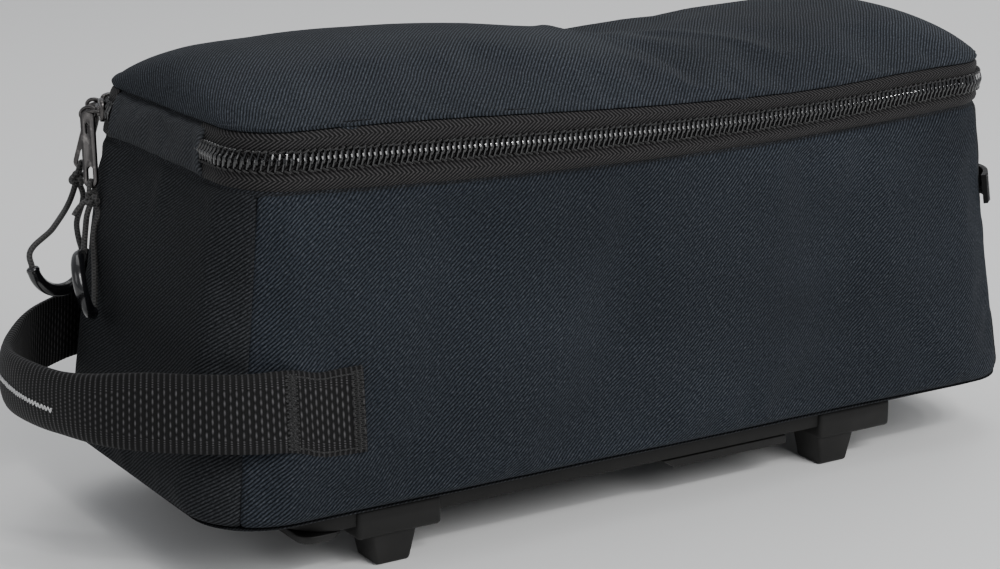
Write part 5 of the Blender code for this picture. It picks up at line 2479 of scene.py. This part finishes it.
    def build_knot(self, low: Vector, down: Vector, middle: Vector) -> Piece:
        """Knot of the cord, its loop through the tab's slot and its cut tail.

        Args:
            low: Foot of the tab.
            down: Direction down the tab.
            middle: Middle of the knot.

        Returns:
            The knot.
        """
        radius = self.cord / 2
        wide, face = self.tab_axes(down)
        scale = (self.knot - radius) / 3
        turns = []
        for k in range(97):
            t = 2 * math.pi * k / 96
            x = math.sin(t) + 2 * math.sin(2 * t)
            y = math.cos(t) - 2 * math.cos(2 * t)
            z = -math.sin(3 * t)
            turns.append(middle + (wide * x + down * y) * scale + face * z * 0.0011)
        tight = ring_tube("tight", turns, lambda run, angle: radius * 0.92, 10)
        loop = []
        for k in range(17):
            angle = math.pi * (k / 16)
            loop.append(low + down * (0.0022 - 0.0050 * math.sin(angle)) + face * 0.0021 * math.cos(angle))
        around = ring_tube("around", evenly(loop, 0.0006), lambda run, angle: radius * 0.8, 10)
        pieces = [tight, around]
        if self.place.has_tail:
            away = Vector((-0.80, 0.45, -0.40)).normalized()
            tail = [middle + away * (0.002 + 0.0006 * k) + down * (0.00004 * k * k) for k in range(10)]
            pieces.append(ring_tube("tail", tail, lambda run, angle: radius * 0.95, 10))
        return CORD_BRAID.dress(joined(f"puller_knot_{self.place.label}", pieces))

    def build_grip(self, low: Vector) -> tuple[Piece, list[Vector], list[Vector]]:
        """Moulded half ring on the cord, with a thicker lip at each mouth.

        Args:
            low: Foot of the tab.

        Returns:
            The grip, its two mouths and the line inside it.
        """
        tube, radius, leg = self.grip
        middle = low + Vector(self.place.grip_drop)
        chord, bulge = self.grip_axes()
        line = [middle + chord * radius]
        for k in range(25):
            angle = math.pi * k / 24
            spoke = chord * math.cos(angle) + bulge * math.sin(angle)
            line.append(middle + bulge * leg + spoke * radius)
        line.append(middle - chord * radius)
        fine = evenly(line, 0.0006)
        whole = run_lengths(fine)[-1]

        def thick(run: float, angle: float) -> float:
            """Radius of the half ring, lipped at its mouths.

            Args:
                run: Length along the line.
                angle: Angle round the section.

            Returns:
                The radius.
            """
            edge = min(run, whole - run)
            lip = 0.00028 * math.exp(-(((edge - 0.0009) / 0.0007) ** 2))
            waist = 0.00018 * math.sin(math.pi * run / whole)
            return tube / 2 - 0.00015 + lip + waist - 0.0005 * math.exp(-edge / 0.0003)

        grip = ring_tube(f"grip_ring_{self.place.label}", fine, thick, 20)
        mouths = [middle + chord * radius * sign for sign in (1, -1)]
        for mouth in mouths:
            hollow = [mouth - bulge * 0.001, mouth, mouth + bulge * 0.0022]
            cut(grip, ring_tube("bore", hollow, lambda run, angle: self.bore, 16))
        RUBBER.dress(smooth_shaded(grip, 45))
        return grip, mouths, line

    def build_cord(
        self, knot_place: Vector, low: Vector, mouths: Line, arc: Line
    ) -> Piece:
        """Cord from the knot down through the half ring and back to the knot, as one length.

        Args:
            knot_place: Middle of the knot.
            low: Foot of the tab.
            mouths: The grip's two mouths.
            arc: The line inside the grip.

        Returns:
            The cord.
        """
        bulge = self.grip_axes()[1]
        spread = Vector(self.place.cord_spread).normalized()
        runs = []
        for sign, guides, mouth in zip((1, -1), (self.place.first_guides, self.place.second_guides), mouths):
            way = Vector((0, 0, -math.cos(self.strand_turn))) + spread * sign * math.sin(self.strand_turn)
            points = [knot_place + way * 0.0014, knot_place + way * (self.knot + self.cord)]
            points += [low + Vector(guide) for guide in guides]
            points += [mouth - bulge * self.cord * 1.6, mouth - bulge * self.cord * 0.4]
            runs.append(points)
        points = runs[0] + list(arc[1:-1:4]) + runs[1][::-1]
        line = smooth_line(points, 0.0009)
        length = run_lengths(line)[-1]
        radius = self.cord / 2
        cord = ring_tube(f"puller_cord_{self.place.label}", line, lambda run, angle: radius, 12)
        CORD_BRAID.dress(cord)
        LOG.info("cord %s: %.1f mm", self.place.label, length * 1000)
        return cord


def main() -> None:
    """Builds the bag's pieces in order and reports each."""
    logging.basicConfig(level=logging.INFO, format="%(name)s %(message)s")
    Studio().build()
    for place in PULLERS:
        Puller(place).build()
    WallPanels().build()
    LidPanel().build()
    ZipBand().build()
    CarryHandle().build()
    LampStrap().build()
    RackAdapter().build()


if __name__ == "__main__":
    main()
